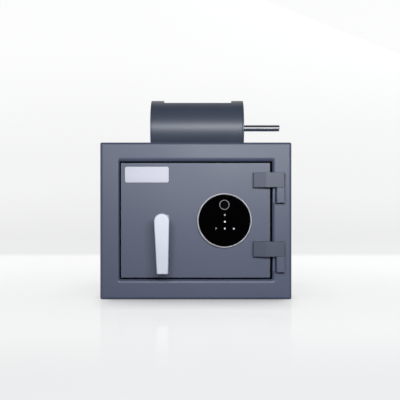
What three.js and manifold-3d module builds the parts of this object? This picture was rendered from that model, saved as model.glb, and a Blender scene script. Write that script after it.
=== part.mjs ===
// A drop safe with a rotary deposit drum on its roof.
// Millimetres. X runs to the right as the door is seen, Y to the back, Z up.
// The origin is the middle of the base. The door is closed, its bolts are withdrawn,
// the lever hangs down and the drum's mouth is over the hole in the roof.

import * as THREE from "three";
import { mergeVertices } from "three/addons/utils/BufferGeometryUtils.js";
import Module from "manifold-3d";

const wasm = await Module();
wasm.setup();

// Clearances and the overrun of every cutter
const runningGap = 0.1;
const seatGap = 0.3;
const slotGap = 0.7;
const overrun = 2;

// Cabinet
const cabinetWidth = 350;
const cabinetDepth = 300;
const cabinetHeight = 287;
const plateWall = 4;
const backWall = 4;
const outerRadius = 3;
const anchorRadius = 6;
const anchorInset = 60;

// Front frame: a face plate whose inner edge bends back into a reveal
const frameWall = 4;
const frameEdgeDepth = 3.5;
const frameEdgeInset = 5;
const flangeWall = 3;
const flangeDepth = 10.5;
const bendDepth = 6;
const bendWidth = 8;
const latchBendWidth = 4.5;
const revealLeft = -139;
const revealRight = 139;
const revealBottom = 37.5;
const revealTopInset = 35.5;

// Rebate ring that the door closes against
const rebateSetback = 7.5;
const rebateWall = 3;
const rebateWidth = 10;

// Door plate and the pan behind it
const doorGapLatch = 1.5;
const doorGapHinge = 3.5;
const doorGapTop = 1.5;
const doorGapBottom = 2.5;
const doorSetback = 0.5;
const doorWall = 6;
const panLatchInset = 21;
const panHingeInset = 15;
const panEndInset = 15.5;
const panDepth = 38.5;
const panWall = 2;
const coverWall = 1.5;

// Hinges
const pinOutset = 14.5;
const pinReach = 9.5;
const pinRadius = 4;
const knuckleRadius = 8.75;
const knuckleFlat = 6;
const knuckleLength = 27.5;
const leafLength = 27;
const hingeCap = 3;
const leafTipInset = 31;
const leafTipWall = 10;
const leafRidgeInset = 8.5;
const leafSetIn = 1;
const footReach = 13;
const footWall = 2;
const upperHingeDrop = 74.5;
const lowerHingeRise = 14;

// Badge plate, bare
const badgeInset = 8;
const badgeDrop = 7.5;
const badgeWidth = 80;
const badgeHeight = 29;
const badgeRadius = 3.5;
const badgeWall = 1;

// Round lock
const lockInset = 83.5;
const bezelRadius = 49.25;
const bezelRim = 2;
const bezelHeight = 8;
const bezelFloor = 2;
const bezelChamfer = 0.75;
const leadHoleRadius = 8;
const glassSetback = 0.5;
const sensorAbove = 28.5;
const sensorRadius = 9.5;
const sensorRim = 1.25;
const sensorProud = 0.25;
const sensorSetback = 0.25;
const lockCaseWidth = 74;
const lockCaseHeight = 76;
const lockCaseDepth = 21;

// Lever handle and its spindle
const spindleInset = 77.5;
const spindleRadius = 6;
const leverHeadRadius = 13.5;
const leverLength = 93.5;
const leverEndWidth = 20;
const leverEndShift = 1.5;
const leverCornerRadius = 2;
const leverWall = 10;
const leverReach = 50;
const leverEdge = 1.5;
const hubRadius = 10;
const hubSocket = 16;
const bushRadius = 9;
const bushFlangeRadius = 12;
const bushFlangeWall = 2;
const bushTail = 1.5;
const crankRadius = 12.5;
const crankWall = 4;
const crankEyeRadius = 9;
const crankPinEyeRadius = 6;
const crankSetback = 2.5;
const crankSquare = 7.5;
const rollerRadius = 3;
const rollerLength = 10.5;
const stubRadius = 3.2;
const stubLength = 3.5;
const grooveRadius = 2.6;
const clipWall = 0.8;
const clipOuterRadius = 5;
const clipGap = 0.2;
const clipMouthAngle = Math.PI / 3;
const crankAngle = Math.PI / 4;

// Bolt carrier, bolts and the studs that guide it
const boltThrow = 18;
const carrierSetback = 11.5;
const carrierWall = 3;
const carrierLeftReach = 37;
const carrierRightReach = 22;
const carrierEndGap = 13;
const carrierWebRise = 45.5;
const carrierFlangeDepth = 18;
const boltRadius = 9;
const boltReach = 23;
const boltChamfer = 1.5;
const boltHoleGap = 0.6;
const boltEndInset = 14;
const studInset = 12;
const studTopInset = 14.5;
const studBottomInset = 13.5;
const studRadius = 3.5;
const studCollarRadius = 6;
const studHeadWall = 2.5;
const notchDepth = 7;

// Fixed dogs on the hinge side
const dogRadius = 7;
const dogReach = 12;
const dogSetback = 21.5;
const dogChamfer = 1.5;
const dogEndInset = 36.5;

// Solenoid that locks the carrier
const solenoidInset = 22;
const solenoidWidth = 24;
const solenoidHeight = 24;
const solenoidRise = 7;
const solenoidDepth = 20;
const plungerRadius = 3;
const plungerReach = 15.5;
const plungerTipGap = 0.5;
const plungerTail = 18;
const plungerCollarRadius = 6;
const plungerCollarWall = 1.5;
const plungerCollarDrop = 6.5;
const springWire = 0.6;
const springTurns = 5;
const springRadius = 4.4;
const springStepsPerTurn = 8;
const springSides = 5;

// Battery case on the inside of the door
const cellRadius = 7.25;
const cellLength = 49.5;
const cellNubRadius = 2.75;
const cellNubLength = 1;
const cellCount = 4;
const cellPitch = 15;
const caseRise = 35;
const caseWall = 2;
const caseFloor = 1.5;
const cellEndGap = 1.5;
const channelReach = 1;
const lidWall = 1.5;
const lidLip = 1.25;
const thumbRibWidth = 24;
const thumbRibHeight = 3;
const thumbRibWall = 1.5;
const thumbRibDrop = 8;

// Lead between the lock case and the solenoid
const leadRadius = 1.5;
const leadDrop = 12;
const leadSides = 8;
const leadSteps = 36;
const leadRise = 8;

// Deposit drum on the roof
const drumAxisRise = 38;
const housingWidth = 184;
const housingRight = 94;
const housingRadius = 58;
const housingWall = 3;
const housingEndWall = 3;
const windowEndLeft = 25;
const windowEndRight = 23;
const windowFrontAngle = THREE.MathUtils.degToRad(28);
const windowBackAngle = THREE.MathUtils.degToRad(68);
const drumSideGap = 1;
const drumWall = 2;
const drumEndWall = 3;
const drumEndGap = 1.5;
const drumMouthAngle = THREE.MathUtils.degToRad(96);
const drumTurn = THREE.MathUtils.degToRad(200);
const roofHoleGap = 1;
const journalRadius = 7;
const bearingRadius = 10;
const bearingFlangeRadius = 14;
const bearingFlangeWall = 2;
const bearingTail = 0.5;
const journalTail = 1.5;
const rodRadius = 6.6;
const rodOrbit = 30;
const rodReach = 77;
const rodTipRadius = 2.5;
const rodShankRadius = 4;
const rodShankLength = 11.5;
const nutRadius = 7.5;
const nutWall = 6;

// Sloped plate under the drop hole
const baffleWall = 2;
const baffleInset = 6;
const baffleHangGap = 10.5;
const baffleFlange = 20;
const baffleDrop = 51;
const baffleRun = 75;
const baffleFall = 36;

// Counts of facets
const fineFacets = 64;
const wideFacets = 48;
const smallFacets = 20;
const slotSteps = 14;
const leverSteps = 8;
const arcSteps = 4;

// Places worked out from the sizes
const frontY = -cabinetDepth / 2;
const backY = cabinetDepth / 2;
const halfWidth = cabinetWidth / 2;
const innerHalfWidth = halfWidth - plateWall;
const frameBackY = frontY + frameWall;
const revealTop = cabinetHeight - revealTopInset;
const openingMidZ = (revealBottom + revealTop) / 2;
const rebateFrontY = frontY + rebateSetback;
const doorFrontY = frontY + doorSetback;
const doorBackY = doorFrontY + doorWall;
const doorLeft = revealLeft + doorGapLatch;
const doorRight = revealRight - doorGapHinge;
const doorBottom = revealBottom + doorGapBottom;
const doorTop = revealTop - doorGapTop;
const panLeft = revealLeft + panLatchInset;
const panRight = revealRight - panHingeInset;
const panBottom = revealBottom + panEndInset;
const panTop = revealTop - panEndInset;
const panBackY = doorBackY + panDepth;
const coverBackY = panBackY + coverWall;
const pinX = revealRight + pinOutset;
const pinY = frontY - pinReach;
const upperKnuckleBottom = revealTop - upperHingeDrop;
const lowerKnuckleBottom = revealBottom + lowerHingeRise;
const badgeLeft = doorLeft + badgeInset;
const badgeTop = doorTop - badgeDrop;
const lockX = doorRight - lockInset;
const lockZ = openingMidZ;
const spindleX = doorLeft + spindleInset;
const spindleZ = openingMidZ;
const leverFaceY = doorFrontY - leverReach;
const leverBackY = leverFaceY + leverWall;
const bushFrontY = doorFrontY - bushFlangeWall;
const crankFrontY = doorBackY + crankSetback;
const crankBackY = crankFrontY + crankWall;
const carrierFrontY = doorBackY + carrierSetback;
const carrierBackY = carrierFrontY + carrierWall;
const carrierMidY = (carrierFrontY + carrierBackY) / 2;
const carrierLeft = spindleX - carrierLeftReach;
const carrierRight = spindleX + carrierRightReach;
const carrierFlangeBottom = panBottom + carrierEndGap;
const carrierFlangeTop = panTop - carrierEndGap;
const studX = carrierLeft + studInset;
const solenoidX = carrierLeft + solenoidInset;
const solenoidBottom = panBottom + solenoidRise;
const solenoidTop = solenoidBottom + solenoidHeight;
const plungerTipZ = solenoidTop + plungerReach;
const collarZ = plungerTipZ - plungerCollarDrop;
const carrierWebBottom = plungerTipZ + plungerTipGap;
const carrierWebTop = spindleZ + carrierWebRise;
const caseX = (panLeft + panRight) / 2;
const caseBottom = panBottom + caseRise;
const drumAxisZ = cabinetHeight + drumAxisRise;
const housingLeft = housingRight - housingWidth;
const drumRadius = housingRadius - housingWall - drumSideGap;
const drumLeft = housingLeft + housingEndWall + drumEndGap;
const drumRight = housingRight - housingEndWall - drumEndGap;
const roofHoleHalfDepth = Math.sqrt(drumRadius ** 2 - drumAxisRise ** 2) + roofHoleGap;
const baffleHangY = roofHoleHalfDepth + baffleHangGap;
const rodSlotHalf = rodRadius + slotGap;

const paint = new THREE.MeshStandardMaterial({ color: 0x5d6473, roughness: 0.55, metalness: 0.2 });
const steel = new THREE.MeshStandardMaterial({ color: 0xa8abb0, roughness: 0.35, metalness: 0.9 });
const silver = new THREE.MeshStandardMaterial({ color: 0xd9dae6, roughness: 0.4, metalness: 0.3 });
const chrome = new THREE.MeshStandardMaterial({ color: 0xe4e6ea, roughness: 0.1, metalness: 1 });
const glass = new THREE.MeshStandardMaterial({ color: 0x050506, roughness: 0.08, metalness: 0 });
const plastic = new THREE.MeshStandardMaterial({ color: 0x1b1c1f, roughness: 0.6, metalness: 0 });
const brass = new THREE.MeshStandardMaterial({ color: 0xb59650, roughness: 0.4, metalness: 0.9 });
const cellSkin = new THREE.MeshStandardMaterial({ color: 0x7a7d84, roughness: 0.4, metalness: 0.3 });

// Solids
function solidOf(geometry) {
  const loose = geometry.index ? geometry.toNonIndexed() : geometry.clone();
  loose.deleteAttribute("normal");
  loose.deleteAttribute("uv");
  const merged = mergeVertices(loose, seatGap / 1000);
  const corners = merged.index.array;
  const kept = [];
  for (let i = 0; i < corners.length; i += 3) {
    const [a, b, c] = [corners[i], corners[i + 1], corners[i + 2]];
    if (a !== b && b !== c && c !== a) kept.push(a, b, c);
  }
  const mesh = new wasm.Mesh({
    numProp: 3,
    vertProperties: merged.attributes.position.array,
    triVerts: new Uint32Array(kept),
  });
  return new wasm.Manifold(mesh);
}

function geometryOf(solid) {
  const mesh = solid.getMesh();
  const geometry = new THREE.BufferGeometry();
  geometry.setAttribute("position", new THREE.BufferAttribute(mesh.vertProperties, mesh.numProp));
  geometry.setIndex(new THREE.BufferAttribute(mesh.triVerts, 1));
  const faceted = geometry.toNonIndexed();
  faceted.computeVertexNormals();
  return faceted;
}

function cut(geometry, ...cutters) {
  let solid = solidOf(geometry);
  for (const cutter of cutters) solid = solid.subtract(solidOf(cutter));
  return geometryOf(solid);
}

function join(geometry, ...others) {
  let solid = solidOf(geometry);
  for (const other of others) solid = solid.add(solidOf(other));
  return geometryOf(solid);
}

function common(geometry, other) {
  return geometryOf(solidOf(geometry).intersect(solidOf(other)));
}

// A box between two values on each axis
function block([left, right], [front, back], [bottom, top]) {
  const box = new THREE.BoxGeometry(right - left, back - front, top - bottom);
  return box.translate((left + right) / 2, (front + back) / 2, (bottom + top) / 2);
}

// A bar of round section between two values along one axis, through a point on the other two
function bar(radius, axis, from, to, at = [0, 0], facets = smallFacets) {
  const geometry = new THREE.CylinderGeometry(radius, radius, to - from, facets);
  const middle = (from + to) / 2;
  if (axis === "x") return geometry.rotateZ(-Math.PI / 2).translate(middle, at[0], at[1]);
  if (axis === "z") return geometry.rotateX(Math.PI / 2).translate(at[0], at[1], middle);
  return geometry.translate(at[0], middle, at[1]);
}

// A bore is drawn so that its flats, not its corners, keep the clearance
function boreRadius(radius, gap, facets = smallFacets) {
  return (radius + gap) / Math.cos(Math.PI / facets);
}

// An outline in X and Z drawn out along Y
function alongY(shape, from, to, curveSegments = arcSteps) {
  const settings = { depth: to - from, bevelEnabled: false, curveSegments };
  return new THREE.ExtrudeGeometry(shape, settings).rotateX(Math.PI / 2).translate(0, to, 0);
}

// An outline in X and Y drawn out along Z
function alongZ(shape, from, to, curveSegments = arcSteps) {
  const settings = { depth: to - from, bevelEnabled: false, curveSegments };
  return new THREE.ExtrudeGeometry(shape, settings).translate(0, 0, from);
}

// An outline in Y and Z drawn out along X
function alongX(shape, from, to, curveSegments = arcSteps) {
  const settings = { depth: to - from, bevelEnabled: false, curveSegments };
  const turned = new THREE.ExtrudeGeometry(shape, settings);
  const cycle = new THREE.Matrix4().set(0, 0, 1, 0, 1, 0, 0, 0, 0, 1, 0, 0, 0, 0, 0, 1);
  return turned.applyMatrix4(cycle).translate(from, 0, 0);
}

// A turned piece: its profile is [radius, place along the axis], counter-clockwise
function turned(profile, axis, facets = smallFacets) {
  const points = profile.map(([radius, along]) => new THREE.Vector2(radius, along));
  const geometry = new THREE.LatheGeometry(points, facets);
  if (axis === "x") return geometry.rotateZ(-Math.PI / 2);
  if (axis === "z") return geometry.rotateX(Math.PI / 2);
  return geometry;
}

function roundedRectangle(left, right, bottom, top, radius) {
  const shape = new THREE.Shape();
  shape.absarc(right - radius, bottom + radius, radius, -Math.PI / 2, 0);
  shape.absarc(right - radius, top - radius, radius, 0, Math.PI / 2);
  shape.absarc(left + radius, top - radius, radius, Math.PI / 2, Math.PI);
  shape.absarc(left + radius, bottom + radius, radius, Math.PI, Math.PI * 1.5);
  shape.closePath();
  return shape;
}

// A mitred frame: each ring is a rectangle at one depth, and the last ring joins the first
function mitredFrame(rings) {
  const corners = rings.flatMap(({ left, right, bottom, top, y }) => [
    [left, y, bottom],
    [right, y, bottom],
    [right, y, top],
    [left, y, top],
  ]);
  const sides = 4;
  const faces = [];
  rings.forEach((_, i) => {
    const here = i * sides;
    const next = ((i + 1) % rings.length) * sides;
    for (let side = 0; side < sides; side += 1) {
      const after = (side + 1) % sides;
      faces.push(here + side, here + after, next + after);
      faces.push(here + side, next + after, next + side);
    }
  });
  const geometry = new THREE.BufferGeometry();
  geometry.setAttribute("position", new THREE.Float32BufferAttribute(corners.flat(), 3));
  geometry.setIndex(faces);
  return geometry;
}

function piece(name, material, geometry) {
  const mesh = new THREE.Mesh(geometryOf(solidOf(geometry)), material);
  mesh.name = name;
  return mesh;
}

// Cabinet plates
function sidePlate(name, side) {
  const shape = new THREE.Shape();
  const outer = halfWidth;
  shape.moveTo(innerHalfWidth, 0);
  shape.lineTo(outer - outerRadius, 0);
  shape.absarc(outer - outerRadius, outerRadius, outerRadius, -Math.PI / 2, 0);
  shape.absarc(outer - outerRadius, cabinetHeight - outerRadius, outerRadius, 0, Math.PI / 2);
  shape.lineTo(innerHalfWidth, cabinetHeight);
  shape.closePath();
  const half = (backY - frameBackY) / 2;
  const mesh = piece(name, paint, alongY(shape, -half, half));
  mesh.position.y = (frameBackY + backY) / 2;
  if (side < 0) mesh.rotation.z = Math.PI;
  return mesh;
}

function roofPlate() {
  const plate = block(
    [-innerHalfWidth, innerHalfWidth],
    [frameBackY, backY],
    [cabinetHeight - plateWall, cabinetHeight],
  );
  const hole = block(
    [housingLeft + housingEndWall, housingRight - housingEndWall],
    [-roofHoleHalfDepth, roofHoleHalfDepth],
    [cabinetHeight - plateWall - overrun, cabinetHeight + overrun],
  );
  return piece("roof_plate", paint, cut(plate, hole));
}

function floorPlate() {
  const plate = block([-innerHalfWidth, innerHalfWidth], [frameBackY, backY], [0, plateWall]);
  const holes = [-1, 1].map((side) =>
    bar(anchorRadius, "z", -overrun, plateWall + overrun, [side * (innerHalfWidth - anchorInset), 0]),
  );
  return piece("floor_plate", paint, cut(plate, ...holes));
}

function backPanel() {
  const plate = block(
    [-innerHalfWidth, innerHalfWidth],
    [backY - backWall, backY],
    [plateWall, cabinetHeight - plateWall],
  );
  const holes = [-1, 1].map((side) =>
    bar(anchorRadius, "y", backY - backWall - overrun, backY + overrun, [
      side * (innerHalfWidth - anchorInset),
      cabinetHeight - anchorInset,
    ]),
  );
  return piece("back_panel", paint, cut(plate, ...holes));
}

// A rectangle around the reveal, wider by a part of the bend or by a wall
function aroundReveal(y, bendShare, wall = 0) {
  return {
    left: revealLeft - latchBendWidth * bendShare - wall,
    right: revealRight + bendWidth * bendShare + wall,
    bottom: revealBottom - bendWidth * bendShare - wall,
    top: revealTop + bendWidth * bendShare + wall,
    y,
  };
}

function cabinetOutline(y, inset) {
  return {
    left: -halfWidth + inset,
    right: halfWidth - inset,
    bottom: inset,
    top: cabinetHeight - inset,
    y,
  };
}

function quarterAngles(steps) {
  return Array.from({ length: steps + 1 }, (_, i) => (i / steps) * (Math.PI / 2));
}

function frontFrame() {
  const rounding = quarterAngles(arcSteps).map((angle) =>
    cabinetOutline(
      frontY + frameEdgeDepth * (1 - Math.sin(angle)),
      frameEdgeInset * (1 - Math.cos(angle)),
    ),
  );
  const bend = quarterAngles(arcSteps).map((angle) =>
    aroundReveal(frontY + bendDepth * (1 - Math.cos(angle)), 1 - Math.sin(angle)),
  );
  const rings = [
    cabinetOutline(frameBackY, 0),
    ...rounding,
    ...bend,
    aroundReveal(frontY + flangeDepth, 0),
    aroundReveal(frontY + flangeDepth, 0, flangeWall),
    aroundReveal(frameBackY, 0, flangeWall),
  ];
  return piece("front_frame", paint, mitredFrame(rings));
}

function doorRebate() {
  const rings = [
    aroundReveal(rebateFrontY + rebateWall, 0),
    aroundReveal(rebateFrontY, 0),
    aroundReveal(rebateFrontY, 0, -rebateWidth),
    aroundReveal(rebateFrontY + rebateWall, 0, -rebateWidth),
  ];
  return piece("door_rebate", paint, mitredFrame(rings));
}

// A sheet folded along a line of points, with mitred folds, its wall to the left of the line
function foldedSheet(points, wall) {
  const corners = points.map(([a, b]) => new THREE.Vector2(a, b));
  const normals = corners.slice(1).map((corner, i) => {
    const along = corner.clone().sub(corners[i]).normalize();
    return new THREE.Vector2(-along.y, along.x);
  });
  const offset = corners.map((corner, i) => {
    const before = normals[Math.max(i - 1, 0)];
    const after = normals[Math.min(i, normals.length - 1)];
    const mitre = before.clone().add(after).normalize();
    return corner.clone().addScaledVector(mitre, wall / mitre.dot(after));
  });
  return new THREE.Shape([...corners, ...offset.reverse()]);
}

function dropBaffle() {
  const hangZ = cabinetHeight - plateWall;
  const line = [
    [baffleHangY + baffleFlange, hangZ],
    [baffleHangY, hangZ],
    [baffleHangY, hangZ - baffleDrop],
    [baffleHangY - baffleRun, hangZ - baffleDrop - baffleFall],
  ];
  const sheet = alongX(
    foldedSheet(line, baffleWall),
    housingLeft + baffleInset,
    housingRight - baffleInset,
  );
  return piece("drop_baffle", steel, sheet);
}

// Housing of the drum, drawn around the drum's axis
function aboveRoof() {
  const reach = housingRadius + overrun;
  return block([housingLeft, housingRight], [-reach, reach], [-drumAxisRise, reach]);
}

function sector(radius, fromAngle, toAngle) {
  const shape = new THREE.Shape();
  shape.moveTo(0, 0);
  shape.absarc(0, 0, radius, fromAngle, toAngle);
  shape.closePath();
  return shape;
}

function drumHousing() {
  const left = housingLeft + housingEndWall;
  const right = housingRight - housingEndWall;
  const innerRadius = housingRadius - housingWall;
  const tube = cut(
    bar(housingRadius, "x", left, right, [0, 0], fineFacets),
    bar(innerRadius, "x", left - overrun, right + overrun, [0, 0], fineFacets),
  );
  const wedge = alongX(
    sector(housingRadius + overrun, Math.PI / 2 - windowBackAngle, Math.PI / 2 + windowFrontAngle),
    housingLeft + windowEndLeft,
    housingRight - windowEndRight,
    wideFacets,
  );
  return piece("drum_housing", paint, cut(common(tube, aboveRoof()), wedge));
}

function housingEnd(name, from, to, ...cutters) {
  const disc = bar(housingRadius, "x", from, to, [0, 0], fineFacets);
  const hole = bar(bearingRadius + seatGap, "x", from - overrun, to + overrun);
  return piece(name, paint, cut(common(disc, aboveRoof()), hole, ...cutters));
}

// The arc slot lets the rod run from the front over the top to the back
function rodSlot() {
  const slot = new THREE.Shape();
  const first = Math.PI;
  const last = Math.PI - drumTurn;
  const outer = rodOrbit + rodSlotHalf;
  const inner = rodOrbit - rodSlotHalf;
  slot.absarc(0, 0, outer, last, first);
  slot.absarc(-rodOrbit, 0, rodSlotHalf, Math.PI, Math.PI * 2);
  slot.absarc(0, 0, inner, first, last, true);
  slot.absarc(
    rodOrbit * Math.cos(last),
    rodOrbit * Math.sin(last),
    rodSlotHalf,
    last + Math.PI,
    last + Math.PI * 2,
  );
  slot.closePath();
  const from = housingRight - housingEndWall - overrun;
  return alongX(slot, from, housingRight + overrun, slotSteps);
}

function flangedBearing(name, plateFace, outward) {
  const bore = boreRadius(journalRadius, runningGap);
  const profile = [
    [bore, -housingEndWall - bearingTail],
    [bearingRadius, -housingEndWall - bearingTail],
    [bearingRadius, 0],
    [bearingFlangeRadius, 0],
    [bearingFlangeRadius, bearingFlangeWall],
    [bore, bearingFlangeWall],
    [bore, -housingEndWall - bearingTail],
  ];
  const mesh = piece(name, brass, turned(profile, "x"));
  mesh.position.x = plateFace;
  if (outward < 0) mesh.rotation.z = Math.PI;
  return mesh;
}

// Drum, drawn around its axis
function drumShell() {
  const mouthMiddle = -Math.PI / 2;
  const from = mouthMiddle + drumMouthAngle / 2;
  const to = mouthMiddle - drumMouthAngle / 2 + Math.PI * 2;
  const shape = new THREE.Shape();
  shape.absarc(0, 0, drumRadius, from, to);
  shape.absarc(0, 0, drumRadius - drumWall, to, from, true);
  shape.closePath();
  const sheet = alongX(shape, drumLeft + drumEndWall, drumRight - drumEndWall, wideFacets);
  return piece("drum_shell", paint, sheet);
}

function drumEnd(name, from, ...cutters) {
  const disc = bar(drumRadius, "x", from, from + drumEndWall, [0, 0], fineFacets);
  return piece(name, paint, cut(disc, ...cutters));
}

function drumJournal(name, from, outward) {
  const length = drumEndGap + housingEndWall + bearingFlangeWall + journalTail;
  const mesh = piece(name, steel, bar(journalRadius, "x", 0, length));
  mesh.position.x = from;
  if (outward < 0) mesh.rotation.z = Math.PI;
  return mesh;
}

function drumRod() {
  const tip = quarterAngles(arcSteps).map((angle) => [
    rodRadius - rodTipRadius * (1 - Math.cos(angle)),
    rodReach - rodTipRadius * (1 - Math.sin(angle)),
  ]);
  const profile = [
    [0, -rodShankLength],
    [rodShankRadius, -rodShankLength],
    [rodShankRadius, 0],
    [rodRadius, 0],
    ...tip,
    [0, rodReach],
  ];
  const mesh = piece("drum_rod", chrome, turned(profile, "x"));
  mesh.position.set(drumRight, -rodOrbit, 0);
  return mesh;
}

function rodNut() {
  const sides = 6;
  const hexagon = bar(nutRadius, "x", -nutWall, 0, [0, 0], sides);
  const thread = bar(rodShankRadius + seatGap, "x", -nutWall - overrun, overrun);
  const mesh = piece("rod_nut", steel, cut(hexagon, thread));
  mesh.position.set(drumRight - drumEndWall, -rodOrbit, 0);
  return mesh;
}

function drumGroup() {
  const drum = new THREE.Group();
  drum.position.z = drumAxisZ;
  const rodHole = bar(
    rodShankRadius + seatGap,
    "x",
    drumRight - drumEndWall - overrun,
    drumRight + overrun,
    [-rodOrbit, 0],
  );
  drum.add(
    drumShell(),
    drumEnd("drum_end_left", drumLeft),
    drumEnd("drum_end_right", drumRight - drumEndWall, rodHole),
    drumJournal("drum_journal_left", drumLeft, -1),
    drumJournal("drum_journal_right", drumRight, 1),
    drumRod(),
    rodNut(),
  );
  return drum;
}

function housingGroup() {
  const housing = new THREE.Group();
  housing.position.z = drumAxisZ;
  housing.add(
    drumHousing(),
    housingEnd("housing_end_left", housingLeft, housingLeft + housingEndWall),
    housingEnd("housing_end_right", housingRight - housingEndWall, housingRight, rodSlot()),
    flangedBearing("drum_bearing_left", housingLeft, -1),
    flangedBearing("drum_bearing_right", housingRight, 1),
  );
  return housing;
}

// Hinges, drawn around the pin, their round ends cut flat at the front
const flatTurn = Math.acos(knuckleFlat / knuckleRadius);

function hingeKnuckle(name, bottom) {
  const shape = new THREE.Shape();
  shape.moveTo(-footReach, pinReach);
  shape.lineTo(-footReach, pinReach - footWall);
  shape.lineTo(-knuckleRadius, pinReach - footWall);
  shape.absarc(0, 0, knuckleRadius, -Math.PI, -Math.PI / 2 - flatTurn);
  shape.absarc(0, 0, knuckleRadius, -Math.PI / 2 + flatTurn, 0);
  shape.lineTo(knuckleRadius, pinReach);
  shape.closePath();
  const bore = bar(boreRadius(pinRadius, runningGap), "z", hingeCap, knuckleLength + overrun);
  const mesh = piece(name, paint, cut(alongZ(shape, 0, knuckleLength, smallFacets), bore));
  mesh.position.set(pinX, pinY, bottom);
  return mesh;
}

function hingePin(name, bottom) {
  const length = knuckleLength + leafLength - hingeCap * 2;
  const mesh = piece(name, steel, bar(pinRadius, "z", 0, length));
  mesh.position.set(pinX, pinY, bottom + hingeCap);
  return mesh;
}

function hingeLeaf(name, knuckleBottom) {
  const doorFace = doorFrontY - pinY;
  const tip = doorRight - leafTipInset - pinX;
  const shape = new THREE.Shape();
  shape.moveTo(tip, doorFace);
  shape.lineTo(tip, doorFace - leafTipWall);
  shape.lineTo(doorRight - leafRidgeInset - pinX, -knuckleFlat);
  shape.absarc(0, 0, knuckleRadius, -Math.PI / 2 + flatTurn, Math.PI / 2);
  shape.lineTo(doorRight - leafSetIn - pinX, knuckleRadius);
  shape.lineTo(doorRight - leafSetIn - pinX, doorFace);
  shape.closePath();
  const bore = bar(boreRadius(pinRadius, runningGap), "z", -overrun, leafLength - hingeCap);
  const mesh = piece(name, paint, cut(alongZ(shape, 0, leafLength, smallFacets), bore));
  mesh.position.set(pinX, pinY, knuckleBottom + knuckleLength + seatGap);
  return mesh;
}

// Door
function doorPlate() {
  const plate = block([doorLeft, doorRight], [doorFrontY, doorBackY], [doorBottom, doorTop]);
  const from = doorFrontY - overrun;
  const to = doorBackY + overrun;
  const bushHole = bar(bushRadius + seatGap, "y", from, to, [spindleX, spindleZ]);
  const leadHole = bar(leadHoleRadius, "y", from, to, [lockX, lockZ]);
  return piece("door_plate", paint, cut(plate, bushHole, leadHole));
}

function boltHeights() {
  return [carrierFlangeTop - boltEndInset, spindleZ, carrierFlangeBottom + boltEndInset];
}

function doorPan() {
  const tube = cut(
    block([panLeft, panRight], [doorBackY, panBackY], [panBottom, panTop]),
    block(
      [panLeft + panWall, panRight - panWall],
      [doorBackY - overrun, panBackY + overrun],
      [panBottom + panWall, panTop - panWall],
    ),
  );
  const holes = boltHeights().map((height) =>
    bar(boltRadius + boltHoleGap, "x", panLeft - overrun, panLeft + panWall + overrun, [
      carrierMidY,
      height,
    ]),
  );
  return piece("door_pan", paint, cut(tube, ...holes));
}

function innerCover() {
  const plate = block([panLeft, panRight], [panBackY, coverBackY], [panBottom, panTop]);
  return piece("inner_cover", paint, plate);
}

function badgePlate() {
  const outline = roundedRectangle(
    badgeLeft,
    badgeLeft + badgeWidth,
    badgeTop - badgeHeight,
    badgeTop,
    badgeRadius,
  );
  return piece("badge_plate", silver, alongY(outline, doorFrontY - badgeWall, doorFrontY));
}

// Round lock, drawn around its own axis with the door's face at zero
function lockBezel() {
  const profile = [
    [leadHoleRadius, -bezelFloor],
    [bezelRadius - bezelRim, -bezelFloor],
    [bezelRadius - bezelRim, -bezelHeight],
    [bezelRadius - bezelChamfer, -bezelHeight],
    [bezelRadius, -bezelHeight + bezelChamfer],
    [bezelRadius, 0],
    [leadHoleRadius, 0],
    [leadHoleRadius, -bezelFloor],
  ];
  return piece("lock_bezel", chrome, turned(profile, "y", wideFacets));
}

function lockGlass() {
  const disc = bar(
    bezelRadius - bezelRim - seatGap,
    "y",
    glassSetback - bezelHeight,
    -bezelFloor,
    [0, 0],
    wideFacets,
  );
  const hole = bar(sensorRadius + seatGap, "y", -bezelHeight - overrun, overrun, [0, sensorAbove]);
  return piece("lock_glass", glass, cut(disc, hole));
}

function sensorRing() {
  const front = glassSetback - bezelHeight - sensorProud;
  const ring = cut(
    bar(sensorRadius, "y", front, -bezelFloor, [0, sensorAbove], wideFacets),
    bar(sensorRadius - sensorRim, "y", front - overrun, overrun, [0, sensorAbove], wideFacets),
  );
  return piece("sensor_ring", chrome, ring);
}

function fingerprintSensor() {
  const front = glassSetback - bezelHeight + sensorSetback;
  const radius = sensorRadius - sensorRim - seatGap;
  return piece("fingerprint_sensor", glass, bar(radius, "y", front, -bezelFloor, [0, sensorAbove]));
}

function lockHousing() {
  const half = lockCaseWidth / 2;
  const casing = block(
    [-half, half],
    [doorWall, doorWall + lockCaseDepth],
    [-lockCaseHeight / 2, lockCaseHeight / 2],
  );
  return piece("lock_housing", plastic, casing);
}

function lockGroup() {
  const lock = new THREE.Group();
  lock.position.set(lockX, doorFrontY, lockZ);
  lock.add(lockBezel(), lockGlass(), sensorRing(), fingerprintSensor(), lockHousing());
  return lock;
}

// Lever, spindle and crank, drawn around the spindle
function handleBush() {
  const bore = boreRadius(spindleRadius, runningGap);
  const tail = doorBackY + bushTail;
  const profile = [
    [bore, bushFrontY],
    [bushFlangeRadius, bushFrontY],
    [bushFlangeRadius, doorFrontY],
    [bushRadius, doorFrontY],
    [bushRadius, tail],
    [bore, tail],
    [bore, bushFrontY],
  ];
  const mesh = piece("handle_bush", steel, turned(profile, "y"));
  mesh.position.set(spindleX, 0, spindleZ);
  return mesh;
}

function leverShape(inset) {
  const endHalf = leverEndWidth / 2 - inset;
  const end = inset - leverLength;
  const corner = leverCornerRadius;
  const radius = leverHeadRadius - inset;
  const shape = new THREE.Shape();
  shape.moveTo(leverEndShift - endHalf + corner, end);
  shape.absarc(leverEndShift + endHalf - corner, end + corner, corner, -Math.PI / 2, 0);
  shape.absarc(0, 0, radius, 0, Math.PI);
  shape.absarc(leverEndShift - endHalf + corner, end + corner, corner, Math.PI, Math.PI * 1.5);
  shape.closePath();
  return shape;
}

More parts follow.
